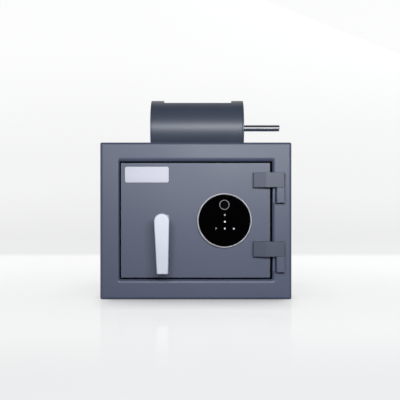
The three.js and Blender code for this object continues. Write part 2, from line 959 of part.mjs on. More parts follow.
function handleLever() {
  const blade = alongY(leverShape(0), leverFaceY + leverEdge, leverBackY, leverSteps);
  const face = alongY(leverShape(leverEdge), leverFaceY, leverBackY, leverSteps);
  const hub = bar(hubRadius, "y", leverBackY - leverEdge, bushFrontY - seatGap);
  const socketDepth = bushFrontY - hubSocket;
  const socket = bar(spindleRadius + seatGap, "y", socketDepth, bushFrontY + overrun);
  return piece("handle_lever", silver, cut(join(blade, face, hub), socket));
}

function handleSpindle() {
  const shoulder = crankFrontY - seatGap;
  const stubStart = crankBackY + clipGap;
  const grooveEnd = stubStart + clipWall + clipGap;
  const stubEnd = crankBackY + stubLength;
  const front = bushFrontY - hubSocket + seatGap;
  const profile = [
    [0, front],
    [spindleRadius, front],
    [spindleRadius, shoulder],
    [grooveRadius, shoulder],
    [grooveRadius, grooveEnd],
    [stubRadius, grooveEnd],
    [stubRadius, stubEnd],
    [0, stubEnd],
  ];
  const half = crankSquare / 2;
  const round = turned(profile, "y");
  const square = block([-half, half], [shoulder - seatGap, crankBackY], [-half, half]);
  square.rotateY(crankAngle);
  return piece("handle_spindle", steel, join(round, square));
}

function crankArm() {
  const shape = new THREE.Shape();
  const lean = Math.asin((crankEyeRadius - crankPinEyeRadius) / crankRadius);
  shape.absarc(0, 0, crankEyeRadius, lean, Math.PI - lean);
  shape.absarc(0, -crankRadius, crankPinEyeRadius, Math.PI - lean, Math.PI * 2 + lean);
  shape.closePath();
  const half = crankSquare / 2 + seatGap;
  const keyHole = block([-half, half], [crankFrontY - overrun, crankBackY + overrun], [-half, half]);
  const arm = cut(alongY(shape, crankFrontY, crankBackY, smallFacets), keyHole);
  arm.rotateY(-crankAngle);
  return piece("crank_arm", steel, arm);
}

function crankRoller() {
  const mesh = piece("crank_roller", steel, bar(rollerRadius, "y", 0, rollerLength));
  const across = crankRadius * Math.sin(crankAngle);
  mesh.position.set(across, crankBackY, -across);
  return mesh;
}

function crankCirclip() {
  const shape = new THREE.Shape();
  const from = clipMouthAngle / 2;
  const to = Math.PI * 2 - clipMouthAngle / 2;
  shape.absarc(0, 0, clipOuterRadius, from, to);
  shape.absarc(0, 0, grooveRadius + clipGap, to, from, true);
  shape.closePath();
  const start = crankBackY + clipGap;
  return piece("crank_circlip", steel, alongY(shape, start, start + clipWall, smallFacets));
}

function handleGroup() {
  const handle = new THREE.Group();
  handle.position.set(spindleX, 0, spindleZ);
  handle.add(handleLever(), handleSpindle(), crankArm(), crankRoller(), crankCirclip());
  return handle;
}

// Bolt work
function studHeights() {
  return [carrierWebTop - studTopInset, carrierWebBottom + studBottomInset];
}

function boltCarrier() {
  const web = block(
    [carrierLeft, carrierRight],
    [carrierFrontY, carrierBackY],
    [carrierWebBottom, carrierWebTop],
  );
  const flange = block(
    [carrierLeft, carrierLeft + carrierWall],
    [carrierMidY - carrierFlangeDepth / 2, carrierMidY + carrierFlangeDepth / 2],
    [carrierFlangeBottom, carrierFlangeTop],
  );
  const from = carrierFrontY - overrun;
  const to = carrierBackY + overrun;
  const guideHalf = studRadius + seatGap;
  const guides = studHeights().map((height) =>
    block(
      [studX - guideHalf, studX + boltThrow + guideHalf],
      [from, to],
      [height - guideHalf, height + guideHalf],
    ),
  );
  const drop = crankRadius * Math.cos(crankAngle);
  const driveHalf = rollerRadius + slotGap;
  const drive = block(
    [spindleX + drop - driveHalf, spindleX + drop + driveHalf],
    [from, to],
    [spindleZ - crankRadius - driveHalf, spindleZ - drop + driveHalf],
  );
  const notchHalf = plungerRadius + slotGap;
  const notches = [0, boltThrow].map((shift) =>
    block(
      [solenoidX + shift - notchHalf, solenoidX + shift + notchHalf],
      [from, to],
      [carrierWebBottom - overrun, carrierWebBottom + notchDepth],
    ),
  );
  return piece("bolt_carrier", steel, cut(join(web, flange), ...guides, drive, ...notches));
}

function chamferedBar(radius, reach, chamfer) {
  return [
    [0, 0],
    [radius, 0],
    [radius, reach - chamfer],
    [radius - chamfer, reach],
    [0, reach],
  ];
}

function lockBolt(name, height) {
  const profile = chamferedBar(boltRadius, boltReach, boltChamfer);
  const mesh = piece(name, steel, turned(profile, "x"));
  mesh.position.set(carrierLeft, carrierMidY, height);
  mesh.rotation.z = Math.PI;
  return mesh;
}

function fixedDog(name, height) {
  const profile = chamferedBar(dogRadius, dogReach, dogChamfer);
  const mesh = piece(name, steel, turned(profile, "x"));
  mesh.position.set(panRight, doorBackY + dogSetback, height);
  return mesh;
}

function carrierStud(name, height) {
  const collarEnd = carrierFrontY - seatGap;
  const headStart = carrierBackY + seatGap;
  const profile = [
    [0, doorBackY],
    [studCollarRadius, doorBackY],
    [studCollarRadius, collarEnd],
    [studRadius, collarEnd],
    [studRadius, headStart],
    [studCollarRadius, headStart],
    [studCollarRadius, headStart + studHeadWall],
    [0, headStart + studHeadWall],
  ];
  const mesh = piece(name, steel, turned(profile, "y"));
  mesh.position.set(studX, 0, height);
  return mesh;
}

// Solenoid
function solenoidBody() {
  const half = solenoidWidth / 2;
  const coil = block(
    [solenoidX - half, solenoidX + half],
    [carrierMidY - solenoidDepth / 2, carrierMidY + solenoidDepth / 2],
    [solenoidBottom, solenoidTop],
  );
  const foot = block(
    [solenoidX - half / 2, solenoidX + half / 2],
    [doorBackY, carrierMidY],
    [solenoidBottom, solenoidTop],
  );
  const at = [solenoidX, carrierMidY];
  const boreBottom = solenoidTop - plungerTail - seatGap;
  const bore = bar(boreRadius(plungerRadius, runningGap), "z", boreBottom, solenoidTop + overrun, at);
  return piece("solenoid_body", steel, cut(join(coil, foot), bore));
}

function solenoidPlunger() {
  const profile = [
    [0, solenoidTop - plungerTail],
    [plungerRadius, solenoidTop - plungerTail],
    [plungerRadius, collarZ - plungerCollarWall],
    [plungerCollarRadius, collarZ - plungerCollarWall],
    [plungerCollarRadius, collarZ],
    [plungerRadius, collarZ],
    [plungerRadius, plungerTipZ],
    [0, plungerTipZ],
  ];
  const mesh = piece("solenoid_plunger", steel, turned(profile, "z"));
  mesh.position.set(solenoidX, carrierMidY, 0);
  return mesh;
}

class Helix extends THREE.Curve {
  constructor(radius, turns, bottom, height) {
    super();
    this.radius = radius;
    this.turns = turns;
    this.bottom = bottom;
    this.height = height;
  }
  getPoint(share, target = new THREE.Vector3()) {
    const angle = share * this.turns * Math.PI * 2;
    const height = this.bottom + this.height * share;
    return target.set(this.radius * Math.cos(angle), this.radius * Math.sin(angle), height);
  }
}

function roundSection(radius, sides) {
  const points = Array.from({ length: sides }, (_, i) => {
    const angle = (i / sides) * Math.PI * 2;
    return new THREE.Vector2(radius * Math.cos(angle), radius * Math.sin(angle));
  });
  return new THREE.Shape(points);
}

function plungerSpring() {
  const reach = springWire / 2 + seatGap;
  const bottom = solenoidTop + reach;
  const height = collarZ - plungerCollarWall - reach - bottom;
  const pitch = height / springTurns;
  console.log(`plunger_spring: least gap between turns ${(pitch - springWire).toFixed(2)} mm`);
  const coil = new THREE.ExtrudeGeometry(roundSection(springWire / 2, springSides), {
    steps: springTurns * springStepsPerTurn,
    bevelEnabled: false,
    extrudePath: new Helix(springRadius, springTurns, bottom, height),
  });
  const mesh = piece("plunger_spring", steel, coil);
  mesh.position.set(solenoidX, carrierMidY, 0);
  return mesh;
}

// Lead that runs down from the lock case and along to the solenoid
function lockHarness() {
  const y = doorBackY + lockCaseDepth / 2;
  const start = lockX - lockCaseWidth / 2 - seatGap;
  const startZ = lockZ - lockCaseHeight / 2 + leadRise;
  const end = solenoidX + solenoidWidth / 2 + seatGap;
  const endZ = solenoidBottom + leadRise;
  const middle = (start + end) / 2;
  const path = new THREE.CatmullRomCurve3([
    new THREE.Vector3(start, y, startZ),
    new THREE.Vector3(start - leadDrop, y, startZ),
    new THREE.Vector3(middle, y, (startZ + endZ) / 2),
    new THREE.Vector3(end + leadDrop, y, endZ),
    new THREE.Vector3(end, y, endZ),
  ]);
  const lead = new THREE.ExtrudeGeometry(roundSection(leadRadius, leadSides), {
    steps: leadSteps,
    bevelEnabled: false,
    extrudePath: path,
  });
  return piece("lock_harness", plastic, lead);
}

// Battery case, drawn from the middle of its floor on the cover, its bottom at zero
const caseInnerHalf = (cellPitch * (cellCount - 1)) / 2 + cellRadius + seatGap;
const caseInnerHeight = cellLength + cellNubLength + cellEndGap;
const cellMiddleY = caseFloor + seatGap + cellRadius;
const channelFront = cellMiddleY + cellRadius + seatGap;
const channelBack = channelFront + lidWall + seatGap * 2;
const caseBack = channelBack + lidLip;
const caseTop = caseWall + caseInnerHeight + caseWall;

function batteryHolder() {
  const outerHalf = caseInnerHalf + caseWall;
  const casing = block([-outerHalf, outerHalf], [0, caseBack], [0, caseTop]);
  const cells = block(
    [-caseInnerHalf, caseInnerHalf],
    [caseFloor, channelFront],
    [caseWall, caseTop - caseWall],
  );
  const channelHalf = caseInnerHalf + channelReach;
  const channel = block(
    [-channelHalf, channelHalf],
    [channelFront - seatGap, channelBack],
    [caseWall, caseTop + overrun],
  );
  const mouth = block(
    [-caseInnerHalf, caseInnerHalf],
    [channelBack - seatGap, caseBack + overrun],
    [caseWall, caseTop + overrun],
  );
  return piece("battery_holder", plastic, cut(casing, cells, channel, mouth));
}

function batteryCover() {
  const half = caseInnerHalf + channelReach - seatGap;
  const back = channelBack - seatGap;
  const lid = block([-half, half], [back - lidWall, back], [caseWall + seatGap, caseTop]);
  const ribTop = caseTop - thumbRibDrop;
  const rib = block(
    [-thumbRibWidth / 2, thumbRibWidth / 2],
    [back - lidWall, back + thumbRibWall],
    [ribTop - thumbRibHeight, ribTop],
  );
  return piece("battery_cover", plastic, join(lid, rib));
}

function cell(index) {
  const profile = [
    [0, 0],
    [cellRadius, 0],
    [cellRadius, cellLength],
    [cellNubRadius, cellLength],
    [cellNubRadius, cellLength + cellNubLength],
    [0, cellLength + cellNubLength],
  ];
  const mesh = piece(`aa_cell_${index + 1}`, cellSkin, turned(profile, "z"));
  const x = (index - (cellCount - 1) / 2) * cellPitch;
  const bottom = caseWall + seatGap;
  mesh.position.set(x, cellMiddleY, bottom);
  if (index % 2 === 1) {
    mesh.rotation.x = Math.PI;
    mesh.position.z = bottom + cellLength + cellNubLength;
  }
  return mesh;
}

function batteryGroup() {
  const battery = new THREE.Group();
  battery.position.set(caseX, coverBackY, caseBottom);
  battery.add(batteryHolder(), batteryCover());
  for (let index = 0; index < cellCount; index += 1) battery.add(cell(index));
  return battery;
}

function cabinetGroup() {
  const cabinet = new THREE.Group();
  cabinet.add(
    sidePlate("side_plate_right", 1),
    sidePlate("side_plate_left", -1),
    roofPlate(),
    floorPlate(),
    backPanel(),
    frontFrame(),
    doorRebate(),
    dropBaffle(),
    housingGroup(),
    hingeKnuckle("hinge_knuckle_upper", upperKnuckleBottom),
    hingeKnuckle("hinge_knuckle_lower", lowerKnuckleBottom),
    hingePin("hinge_pin_upper", upperKnuckleBottom),
    hingePin("hinge_pin_lower", lowerKnuckleBottom),
  );
  return cabinet;
}

function doorGroup() {
  const door = new THREE.Group();
  const [upper, middle, lower] = boltHeights();
  const [studUpper, studLower] = studHeights();
  door.add(
    doorPlate(),
    doorPan(),
    innerCover(),
    hingeLeaf("hinge_leaf_upper", upperKnuckleBottom),
    hingeLeaf("hinge_leaf_lower", lowerKnuckleBottom),
    badgePlate(),
    lockGroup(),
    handleBush(),
    handleGroup(),
    boltCarrier(),
    lockBolt("lock_bolt_upper", upper),
    lockBolt("lock_bolt_middle", middle),
    lockBolt("lock_bolt_lower", lower),
    carrierStud("carrier_stud_upper", studUpper),
    carrierStud("carrier_stud_lower", studLower),
    fixedDog("fixed_dog_upper", panTop - dogEndInset),
    fixedDog("fixed_dog_lower", panBottom + dogEndInset),
    solenoidBody(),
    solenoidPlunger(),
    plungerSpring(),
    lockHarness(),
    batteryGroup(),
  );
  return door;
}

const safe = new THREE.Group();
safe.add(cabinetGroup(), doorGroup(), drumGroup());

export default safe;
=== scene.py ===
# A drop safe with a rotary deposit drum, dressed around its frame.
# Metres, in the frame's own axes: X to the right as the door is seen, Y to the back, Z up.

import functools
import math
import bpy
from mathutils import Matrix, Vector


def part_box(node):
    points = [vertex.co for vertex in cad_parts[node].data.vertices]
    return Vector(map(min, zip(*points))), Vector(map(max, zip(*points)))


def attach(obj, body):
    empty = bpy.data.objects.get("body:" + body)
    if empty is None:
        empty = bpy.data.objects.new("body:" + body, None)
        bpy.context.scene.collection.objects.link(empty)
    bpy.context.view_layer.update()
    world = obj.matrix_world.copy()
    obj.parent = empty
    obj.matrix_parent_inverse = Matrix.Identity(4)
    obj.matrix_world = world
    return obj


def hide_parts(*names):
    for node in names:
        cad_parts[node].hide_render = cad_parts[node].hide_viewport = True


bl_info = {
    "name": "Drop safe",
    "version": (1, 0, 0),
    "blender": (4, 5, 0),
    "location": "View3D > Sidebar > Drop safe",
    "description": "Builds the finished surfaces of a drop safe around its frame",
    "category": "Object",
}

import bmesh
import bpy
from bpy.types import Operator, Panel, PropertyGroup
from mathutils import Matrix, Vector

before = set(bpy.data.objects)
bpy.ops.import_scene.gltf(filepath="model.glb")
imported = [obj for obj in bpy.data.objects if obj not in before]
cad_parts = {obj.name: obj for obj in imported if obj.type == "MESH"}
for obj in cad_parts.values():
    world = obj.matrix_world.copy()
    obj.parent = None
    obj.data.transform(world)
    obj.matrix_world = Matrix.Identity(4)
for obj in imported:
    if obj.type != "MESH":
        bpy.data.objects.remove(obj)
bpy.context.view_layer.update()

MM = 0.001
WELD = 0.01 * MM
FULL_TURN, HALF_TURN, QUARTER = math.tau, math.pi, math.pi / 2
FLAT_ANGLE, CREASE_ANGLE = math.radians(0.5), math.radians(1)
AXES = {"x": Vector((1, 0, 0)), "y": Vector((0, 1, 0)), "z": Vector((0, 0, 1))}
OUT = {"x": Vector((0, 0, 1)), "y": Vector((1, 0, 0)), "z": Vector((1, 0, 0))}
SOFT_LIT = "lit_by_the_room"

# Looks: the slot that a piece fills, and its material
PAINT = ("body_paint", "powder_coat")
# The hinge leaves wear the body's powder coat darkened: painted shade
SHADED_LEAF_PAINT = ("body_paint", "shaded_hinge_coat")
COVER_PAINT = ("body_paint", "drum_coat")
STEEL = ("bare_steel", "bright_steel")
ZINC = ("bare_steel", "zinc_plate")
ALLOY = ("satin_alloy", "satin_alloy")
PLASTIC = ("black_plastic", "moulded_plastic")

# Fits and small features
BEARING_BORE, BEARING_BODY = 7.1 * MM, 10 * MM
BEARING_HOLE, BEARING_FLANGE = 10.3 * MM, 14 * MM
ROD_CLEARANCE = THREAD_DEPTH = ROD_CHAMFER = 0.3 * MM
THREAD_START, THREAD_END = 0.4 * MM, 3.2 * MM
GLASS_CLEARANCE = GLASS_EDGE = 0.3 * MM
PAD_CLEARANCE, PAD_EDGE = 0.1 * MM, 0.4 * MM
SPINDLE_BORE = 6.3 * MM
BOLT_CLEARANCE, BOLT_CHAMFER, BOLT_GROOVE = 0.1 * MM, 1.5 * MM, 0.25 * MM
SPRING_WIRE, SPRING_TURNS, STEPS_PER_TURN = 0.3 * MM, 5, 24
LEAD_SHARP_ANGLE = math.radians(60)

# Small features as shares of a piece: a screw's cross on its head, the rounding on the
# rim's width and on a drive pin's rise, the collar on the lever's hub
CROSS_REACH, RIM_ROUND, PIN_ROUND, HUB_COLLAR = 0.55, 0.42, 0.9, 1.12

# Steps of a full turn on pieces that need more or fewer than the usual number
DISC_STEPS, BORE_STEPS, SCREW_STEPS, DRIVE_PIN_STEPS, HEXAGON, DOT_STEPS = 160, 96, 48, 32, 6, 32

# Outlines of lit marks, in halves of a mark's height
TRIANGLE = ((-0.9, -0.8), (0.9, -0.8), (0, 0.9))
HOOKED_STROKE = (
    (-0.9, -1), (-0.6, -1), (0.9, 0.1), (0.9, 0.5), (0, 1), (-0.5, 0.7), (0.3, 0.2)
)

# Screen greys of the paper, each after its share of the way up the wall or along the floor
WALL_TONES = ((0.1, 231), (0.35, 239), (0.85, 248))
FLOOR_TONES = ((0.05, 224), (0.25, 240), (0.8, 246))

# Lamps: their colour, what they look at, and the soft panels' places and size
LAMP_COLOUR = (0.94, 0.96, 1.0)
KEY_TARGET, SOFT_TARGET = (0.02, -0.15, 0.2), (0.0, 0.0, 0.15)
SOFT_PANEL_SIZE = (1.2, 0.7)
SOFT_PANELS = {
    "left_panel": (-1.7, 0.35, 0.6), "right_panel": (1.7, 0.35, 0.6), "rear_panel": (0.3, 0.98, 0.9)
}


def srgb(red, green, blue):
    """A colour picked on a screen, 0 to 255, as the linear values that shaders use."""
    shares = [value / 255 for value in (red, green, blue)]
    return tuple(s / 12.92 if s <= 0.04045 else ((s + 0.055) / 1.055) ** 2.4 for s in shares)


def number(name, description, default, **kind):
    return bpy.props.FloatProperty(name=name, description=description, default=default, **kind)


def length(name, description, millimetres):
    default = millimetres * MM
    return number(name, description, default, min=0.0, unit="LENGTH", precision=5)


def share(name, description, default):
    return number(name, description, default, min=0.0, max=1.0, subtype="FACTOR")


def angle(name, description, degrees):
    return number(name, description, math.radians(degrees), unit="ROTATION")


def count(name, description, default):
    return bpy.props.IntProperty(name=name, description=description, default=default, min=1)


def colour(name, description, *screen):
    return bpy.props.FloatVectorProperty(
        name=name, description=description, default=srgb(*screen), min=0.0, max=1.0,
        subtype="COLOR", size=3,
    )


class FinishSettings(PropertyGroup):
    paint: colour("Paint", "Powder coat on the cabinet, door and drum", 67, 74, 94)
    paint_light: colour("Thin paint", "Where the coat thins over a folded edge", 96, 103, 120)
    # Painted shade: the body's powder coat made darker for the hinge leaves
    shaded_hinge_paint: colour("Hinge paint", "Powder coat on the cast leaves", 54, 60, 78)
    drum_paint: colour("Cover paint", "Powder coat on the rolled cover", 65, 72, 86)
    paint_roughness: share("Paint roughness", "Sheen of the powder coat", 0.42)
    drum_roughness: share("Cover roughness", "Sheen of the rolled cover's coat", 0.4)
    silver: colour("Satin silver", "Cast lever", 187, 189, 199)
    badge: colour("Badge silver", "Brushed plate on the door", 164, 164, 174)
    chrome: colour("Chrome", "Turning rod", 224, 225, 229)
    ring: colour("Lock ring", "Satin ring around the lock", 192, 192, 195)
    sensor_ring: colour("Sensor ring", "Dark ring around the sensor", 142, 143, 147)
    steel: colour("Bright steel", "Bolts, pins and spindle", 176, 178, 182)
    zinc: colour("Zinc plate", "Plated sheet parts and screws", 158, 161, 166)
    bronze: colour("Bearing bronze", "Drum bearings", 176, 136, 84)
    glass: colour("Lock glass", "Gloss black disc", 1, 1, 2)
    plastic: colour("Case plastic", "Moulded black cases", 30, 30, 32)
    mark: colour("Lit mark", "Touch marks on the lock", 214, 216, 216)


class EdgeSettings(PropertyGroup):
    sheet: length("Sheet edge", "Rounding of cut sheet edges", 0.4)
    plate: length("Plate edge", "Rounding of the thick plates", 0.35)
    door_trim: length("Door trim", "Plate held back at the lever side and on top", 0.8)
    block: length("Hinge edge", "Rounding of the hinge blocks", 0.7)
    leaf_fill: share("Leaf fill", "Share of a hinge leaf's slope that is filled", 0.25)
    turned: length("Turned edge", "Rounding of turned parts", 0.35)
    moulded: length("Moulded edge", "Rounding of plastic cases", 1.0)
    segments: count("Segments", "Segments of each rounding", 3)
    steps: count("Steps", "Steps of a full turn on round parts", 72)
    sharp: angle("Sharp angle", "Edges steeper than this are rounded", 30)
    broad_face: number(
        "Broad face", "Least area of a face that keeps its crease", 100 * MM * MM, unit="AREA"
    )


class FrontFrameSettings(PropertyGroup):
    bend: length("Bend width", "Width of the rolled inner edge", 8)
    latch_bend: length("Latch bend width", "The same on the lever side", 4.5)
    bend_depth: length("Bend depth", "Depth of the rolled inner edge", 6)
    edge_depth: length("Edge depth", "Depth of the front's rounded outer edge", 3.5)
    edge_inset: length("Edge inset", "Width of the front's rounded outer edge", 5)
    outer_corner: length("Outer corner", "Corner rounding of the front", 3)
    wall: length("Face wall", "Thickness of the face plate", 4)
    flange: length("Flange wall", "Thickness of the flange behind the bend", 3)
    corner: length("Opening corner", "Corner rounding of the opening", 0.8)
    corner_growth: share("Corner growth", "How much the rounding grows over the bend", 0.55)
    # The foam seal in the reveal is near black: painted shade in the gap around the door
    seal_gap: length("Seal gap", "Seal inside the reveal", 0.05)
    seal_lip: length("Seal lip", "Reach of the seal's lip over the bend", 2.6)
    seal_flare: length("Seal flare", "How far the lip spreads over the bend", 0.8)
    seal_width: length("Seal width", "Width of the foam seal", 9)
    seal_wall: length("Seal wall", "Thickness of the foam seal", 0.6)
    steps: count("Steps", "Steps over each rounding", 10)


class HousingSettings(PropertyGroup):
    wall: length("Housing wall", "Thickness of the rolled sheet", 3)
    window_left: length("Window left", "Solid sheet at the left end", 25)
    window_right: length("Window right", "Solid sheet at the right end", 23)
    window_front: angle("Window front", "Front edge of the window from the top", 28)
    window_back: angle("Window back", "Back edge of the window from the top", 68)
    edge: length("Edge", "Rounding of the housing's edges", 0.9)
    orbit: length("Rod orbit", "Radius on which the rod travels", 30)
    slot_gap: length("Slot gap", "Room around the rod in its slot", 0.7)
    turn: angle("Drum turn", "How far the drum turns over", 200)
    steps: count("Steps", "Steps of a full turn", 160)


class DrumSettings(PropertyGroup):
    wall: length("Drum wall", "Thickness of the rolled drum", 2)
    mouth: angle("Mouth", "Opening of the drum", 96)
    rod_tip: length("Rod tip", "Rounding of the rod's end", 2.2)
    shank: length("Rod shank", "Radius of the threaded shank", 4)
    thread: length("Thread pitch", "Distance between threads", 1.25)


class ScrewSettings(PropertyGroup):
    inset: length("Inset", "Screws from the cover's edges", 9)
    head: length("Head", "Radius of a screw's head", 3.6)
    rise: length("Rise", "Height of a screw's head", 2)
    slot: length("Slot", "Width of the cross recess", 0.9)
    recess: length("Recess", "Depth of the cross recess", 1.2)


class BadgeSettings(PropertyGroup):
    radius: length("Corner", "Corner radius of the badge", 3.5)
    pin: length("Pin", "Radius of its drive pins", 0.9)
    pin_inset: length("Pin inset", "Pins from the ends", 4.2)
    pin_rise: length("Pin rise", "How far the pins stand out", 0.35)


class LockSettings(PropertyGroup):
    rim: length("Rim", "Width of the bright ring", 1.3)
    floor: length("Floor", "Floor of the ring", 2)
    hole: length("Lead hole", "Hole for the leads", 8)
    sensor_inset: length("Sensor inset", "Sensor's ring inside its drawn edge", 0.8)
    sensor_ring: length("Sensor ring", "Width of the sensor's ring", 0.6)
    sensor_slope: length("Sensor slope", "Chamfer on the sensor's ring", 0.15)
    mark: length("Mark size", "Height of a lit mark", 3.1)
    mark_rise: length("Mark rise", "How far the marks stand on the glass", 0.05)
    mark_strength: number("Mark light", "Strength of the lit marks", 0.15)
    triangle_rise: length("Triangle", "Triangle above the disc's centre", 10.4)
    dot_drop: length("Dot", "Dot below the disc's centre", 2.4)
    row_drop: length("Row", "Row of marks below the centre", 14.8)
    row_pitch: length("Row pitch", "Distance between the row's marks", 16.3)
    mark_shift: length("Mark shift", "Marks to the right of the centre", 0.8)


class LeverSettings(PropertyGroup):
    head: length("Head radius", "Round head of the lever", 13.5)
    end_width: length("End width", "Width at the free end", 20)
    end_shift: length("End shift", "Free end to the right", 1.5)
    reach: length("Reach", "Spindle to the free end", 93.5)
    corner: length("Corner", "Corners of the free end", 2)
    wall: length("Wall", "Thickness of the blade", 10)
    edge: length("Edge", "Rounding around the front", 1.8)
    hub: length("Hub radius", "Boss behind the head", 10)


class CellSettings(PropertyGroup):
    shoulder: length("Shoulder", "Drop from the plus nub to the wrap", 1.2)
    nub: length("Nub", "Radius of the plus nub", 2.75)
    crimp: length("Crimp", "Rounding of the wrap at both ends", 0.6)
    band: length("Band", "Height of the copper-toned band", 12)
    blend: length("Blend", "Width over which two finishes of the wrap meet", 0.1)


class StageSettings(PropertyGroup):
    camera_x: number("Camera X", "Camera to the right of the middle", 0.0076)
    camera_y: number("Camera Y", "Camera in front of the safe", -1.45)
    camera_z: number("Camera Z", "Camera above the floor", 0.1817)
    lens: number("Lens", "Focal length in millimetres", 64.05)
    key_light: number("Key light", "Power of the soft panel above the camera, in watts", 16.5)
    key_x: number("Key X", "Middle of the panel, to the right", 0.10)
    key_y: number("Key Y", "Panel in front of the safe", -1.35)
    key_z: number("Key Z", "Middle of the panel above the floor", 0.465)
    key_width: length("Key width", "Width of the panel", 850)
    key_height: length("Key height", "Height of the panel", 180)
    side_light: number("Side lights", "Power of each soft side light, in watts", 13.0)
    back_light: number("Back light", "Power of the soft light behind, in watts", 15.0)
    ambient: number("Ambient", "Strength of the room's own light on matt surfaces", 0.12)
    wall_y: length("Backdrop", "Backdrop behind the safe", 1020)
    sweep: length("Sweep", "Radius where floor and backdrop meet", 50)
    shade_reach: length("Shade reach", "How far the safe shades the floor around it", 140)


SETTINGS = {
    "finish": FinishSettings, "edge": EdgeSettings, "front": FrontFrameSettings,
    "housing": HousingSettings, "drum": DrumSettings, "screw": ScrewSettings,
    "badge": BadgeSettings, "lock": LockSettings, "lever": LeverSettings,
    "cell": CellSettings, "stage": StageSettings,
}


class SafeSettings(PropertyGroup):
    __annotations__ = {
        name: bpy.props.PointerProperty(type=kind) for name, kind in SETTINGS.items()
    }


def settings():
    return bpy.context.scene.drop_safe


# Mesh helpers


def round_edges(bm, radius, segments=None, edges=None):
    """Rounds every edge that is steeper than the sharp angle, or the edges given."""
    edge = settings().edge
    if edges is None:
        edges = [e for e in bm.edges if len(e.link_faces) == 2 and e.calc_face_angle() > edge.sharp]
    bmesh.ops.bevel(
        bm, geom=edges, offset=radius, offset_type="OFFSET", segments=segments or edge.segments,
        profile=0.5, affect="EDGES", clamp_overlap=True, material=-1,
    )


def creases_of(bm, area):
    """Edges between broad flat faces, followed over the rounding at both ends."""
    broad = {f for f in bm.faces if f.calc_area() > area}
    found = [
        e for e in bm.edges if broad.issuperset(e.link_faces) and e.calc_face_angle() > CREASE_ANGLE
    ]
    for start in found[:]:
        for vert in start.verts:
            edge = start
            for step in range(settings().edge.segments):
                along = vert.co - edge.other_vert(vert).co
                others = [e for e in vert.link_edges if e is not edge]
                edge = max(
                    others, key=lambda e: (e.other_vert(vert).co - vert.co).normalized().dot(along)
                )
                found.append(edge)
                vert = edge.other_vert(vert)
    return [e.index for e in found]


def object_of(name, bm):
    """An object in the scene made from a mesh shape, which is used up."""
    mesh = bpy.data.meshes.new(name)
    bm.to_mesh(mesh)
    bm.free()
    made = bpy.data.objects.new(name, mesh)
    bpy.context.scene.collection.objects.link(made)
    return made


def place_piece(name, bm, body, look, replaced=(), sharp=None, crease=None):
    """Makes a closed shape a piece that rides on a body. Creases part broad flat faces."""
    bmesh.ops.remove_doubles(bm, verts=bm.verts, dist=WELD)
    bmesh.ops.dissolve_degenerate(bm, edges=bm.edges, dist=WELD / 10)
    open_edges = [e for e in bm.edges if len(e.link_faces) != 2]
    if open_edges:
        raise RuntimeError(f"{name} has {len(open_edges)} open edges")
    bmesh.ops.recalc_face_normals(bm, faces=bm.faces)
    bm.edges.index_update()
    creases = creases_of(bm, crease) if crease else []
    slot, material = look
    piece = object_of(name, bm)
    mesh = piece.data
    mesh.materials.append(material_of(material))
    mesh.shade_smooth()
    mesh.set_sharp_from_angle(angle=sharp or settings().edge.sharp)
    for index in creases:
        mesh.edges[index].use_edge_sharp = True
    piece.modifiers.new("flat_faces", "WEIGHTED_NORMAL").keep_sharp = True
    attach(piece, body)
    if replaced:
        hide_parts(*replaced)
    return piece


def dress(node, bm, body, look, crease=None):
    """Places the one piece that replaces a CAD node."""
    return place_piece(f"{node}_finish", bm, body, look, [node], crease=crease)


def merged(bm):
    """A shape with its doubles merged and its flat faces whole."""
    bmesh.ops.remove_doubles(bm, verts=bm.verts, dist=WELD)
    bmesh.ops.dissolve_limit(bm, angle_limit=FLAT_ANGLE, verts=bm.verts, edges=bm.edges)
    return bm


def copy_of(node):
    bm = bmesh.new()
    bm.from_mesh(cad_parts[node].data)
    return merged(bm)


def refined(node, body, look, radius, segments=None):
    """A CAD node rebuilt with rounded edges."""
    bm = copy_of(node)
    round_edges(bm, radius, segments)
    dress(node, bm, body, look)


def round_of(node, across="x"):
    """A round node's low and high corners, its middle and its radius."""
    low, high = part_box(node)
    return low, high, (low + high) / 2, (getattr(high, across) - getattr(low, across)) / 2


def turned(profile, axis, centre, steps=None, ring=False):
    """A profile of (radius, place along the axis) spun into a turned part."""
    bm = bmesh.new()
    line, centre = AXES[axis], Vector(centre)
    centre -= line * centre.dot(line)
    verts = [bm.verts.new(centre + OUT[axis] * r + line * a) for r, a in profile]
    edges = [bm.edges.new(pair) for pair in zip(verts, verts[1:])]
    if ring:
        edges.append(bm.edges.new((verts[-1], verts[0])))
    bmesh.ops.spin(
        bm, geom=verts + edges, cent=centre, axis=line, angle=FULL_TURN,
        steps=steps or settings().edge.steps, use_merge=True,
    )
    bmesh.ops.remove_doubles(bm, verts=bm.verts, dist=WELD)
    return bm


def cylinder(radius, start, end, axis, centre, steps=None):
    return turned([(0, start), (radius, start), (radius, end), (0, end)], axis, centre, steps)


def bored(bm, radius, start, end, axis, centre, steps=None):
    """A shape between start and end with a round hole right through it."""
    reach = end - start
    tool = cylinder(radius, start - reach, end + reach, axis, centre, steps)
    return combined(bm, tool, "DIFFERENCE")


def steel_pin(node, body, axis, rounding):
    """A CAD pin or roller turned afresh in bright steel, with rounded ends."""
    low, high, middle, radius = round_of(node, "y" if axis == "x" else "x")
    bm = cylinder(radius, getattr(low, axis), getattr(high, axis), axis, middle)
    round_edges(bm, rounding)
    dress(node, bm, body, STEEL)


def verts_in(geom):
    return [v for v in geom if isinstance(v, bmesh.types.BMVert)]


def drawn_out(points, direction):
    """An outline drawn out into a solid."""
    bm = bmesh.new()
    face = bm.faces.new([bm.verts.new(p) for p in points])
    made = bmesh.ops.extrude_face_region(bm, geom=[face])
    bmesh.ops.translate(bm, verts=verts_in(made["geom"]), vec=direction)
    bmesh.ops.recalc_face_normals(bm, faces=bm.faces)
    return bm


def arc(centre_a, centre_b, radius, start, end, steps):
    """Points of an arc, as pairs, from one angle to another."""
    turns = [start + (end - start) * i / steps for i in range(steps + 1)]
    return [(centre_a + radius * math.cos(t), centre_b + radius * math.sin(t)) for t in turns]


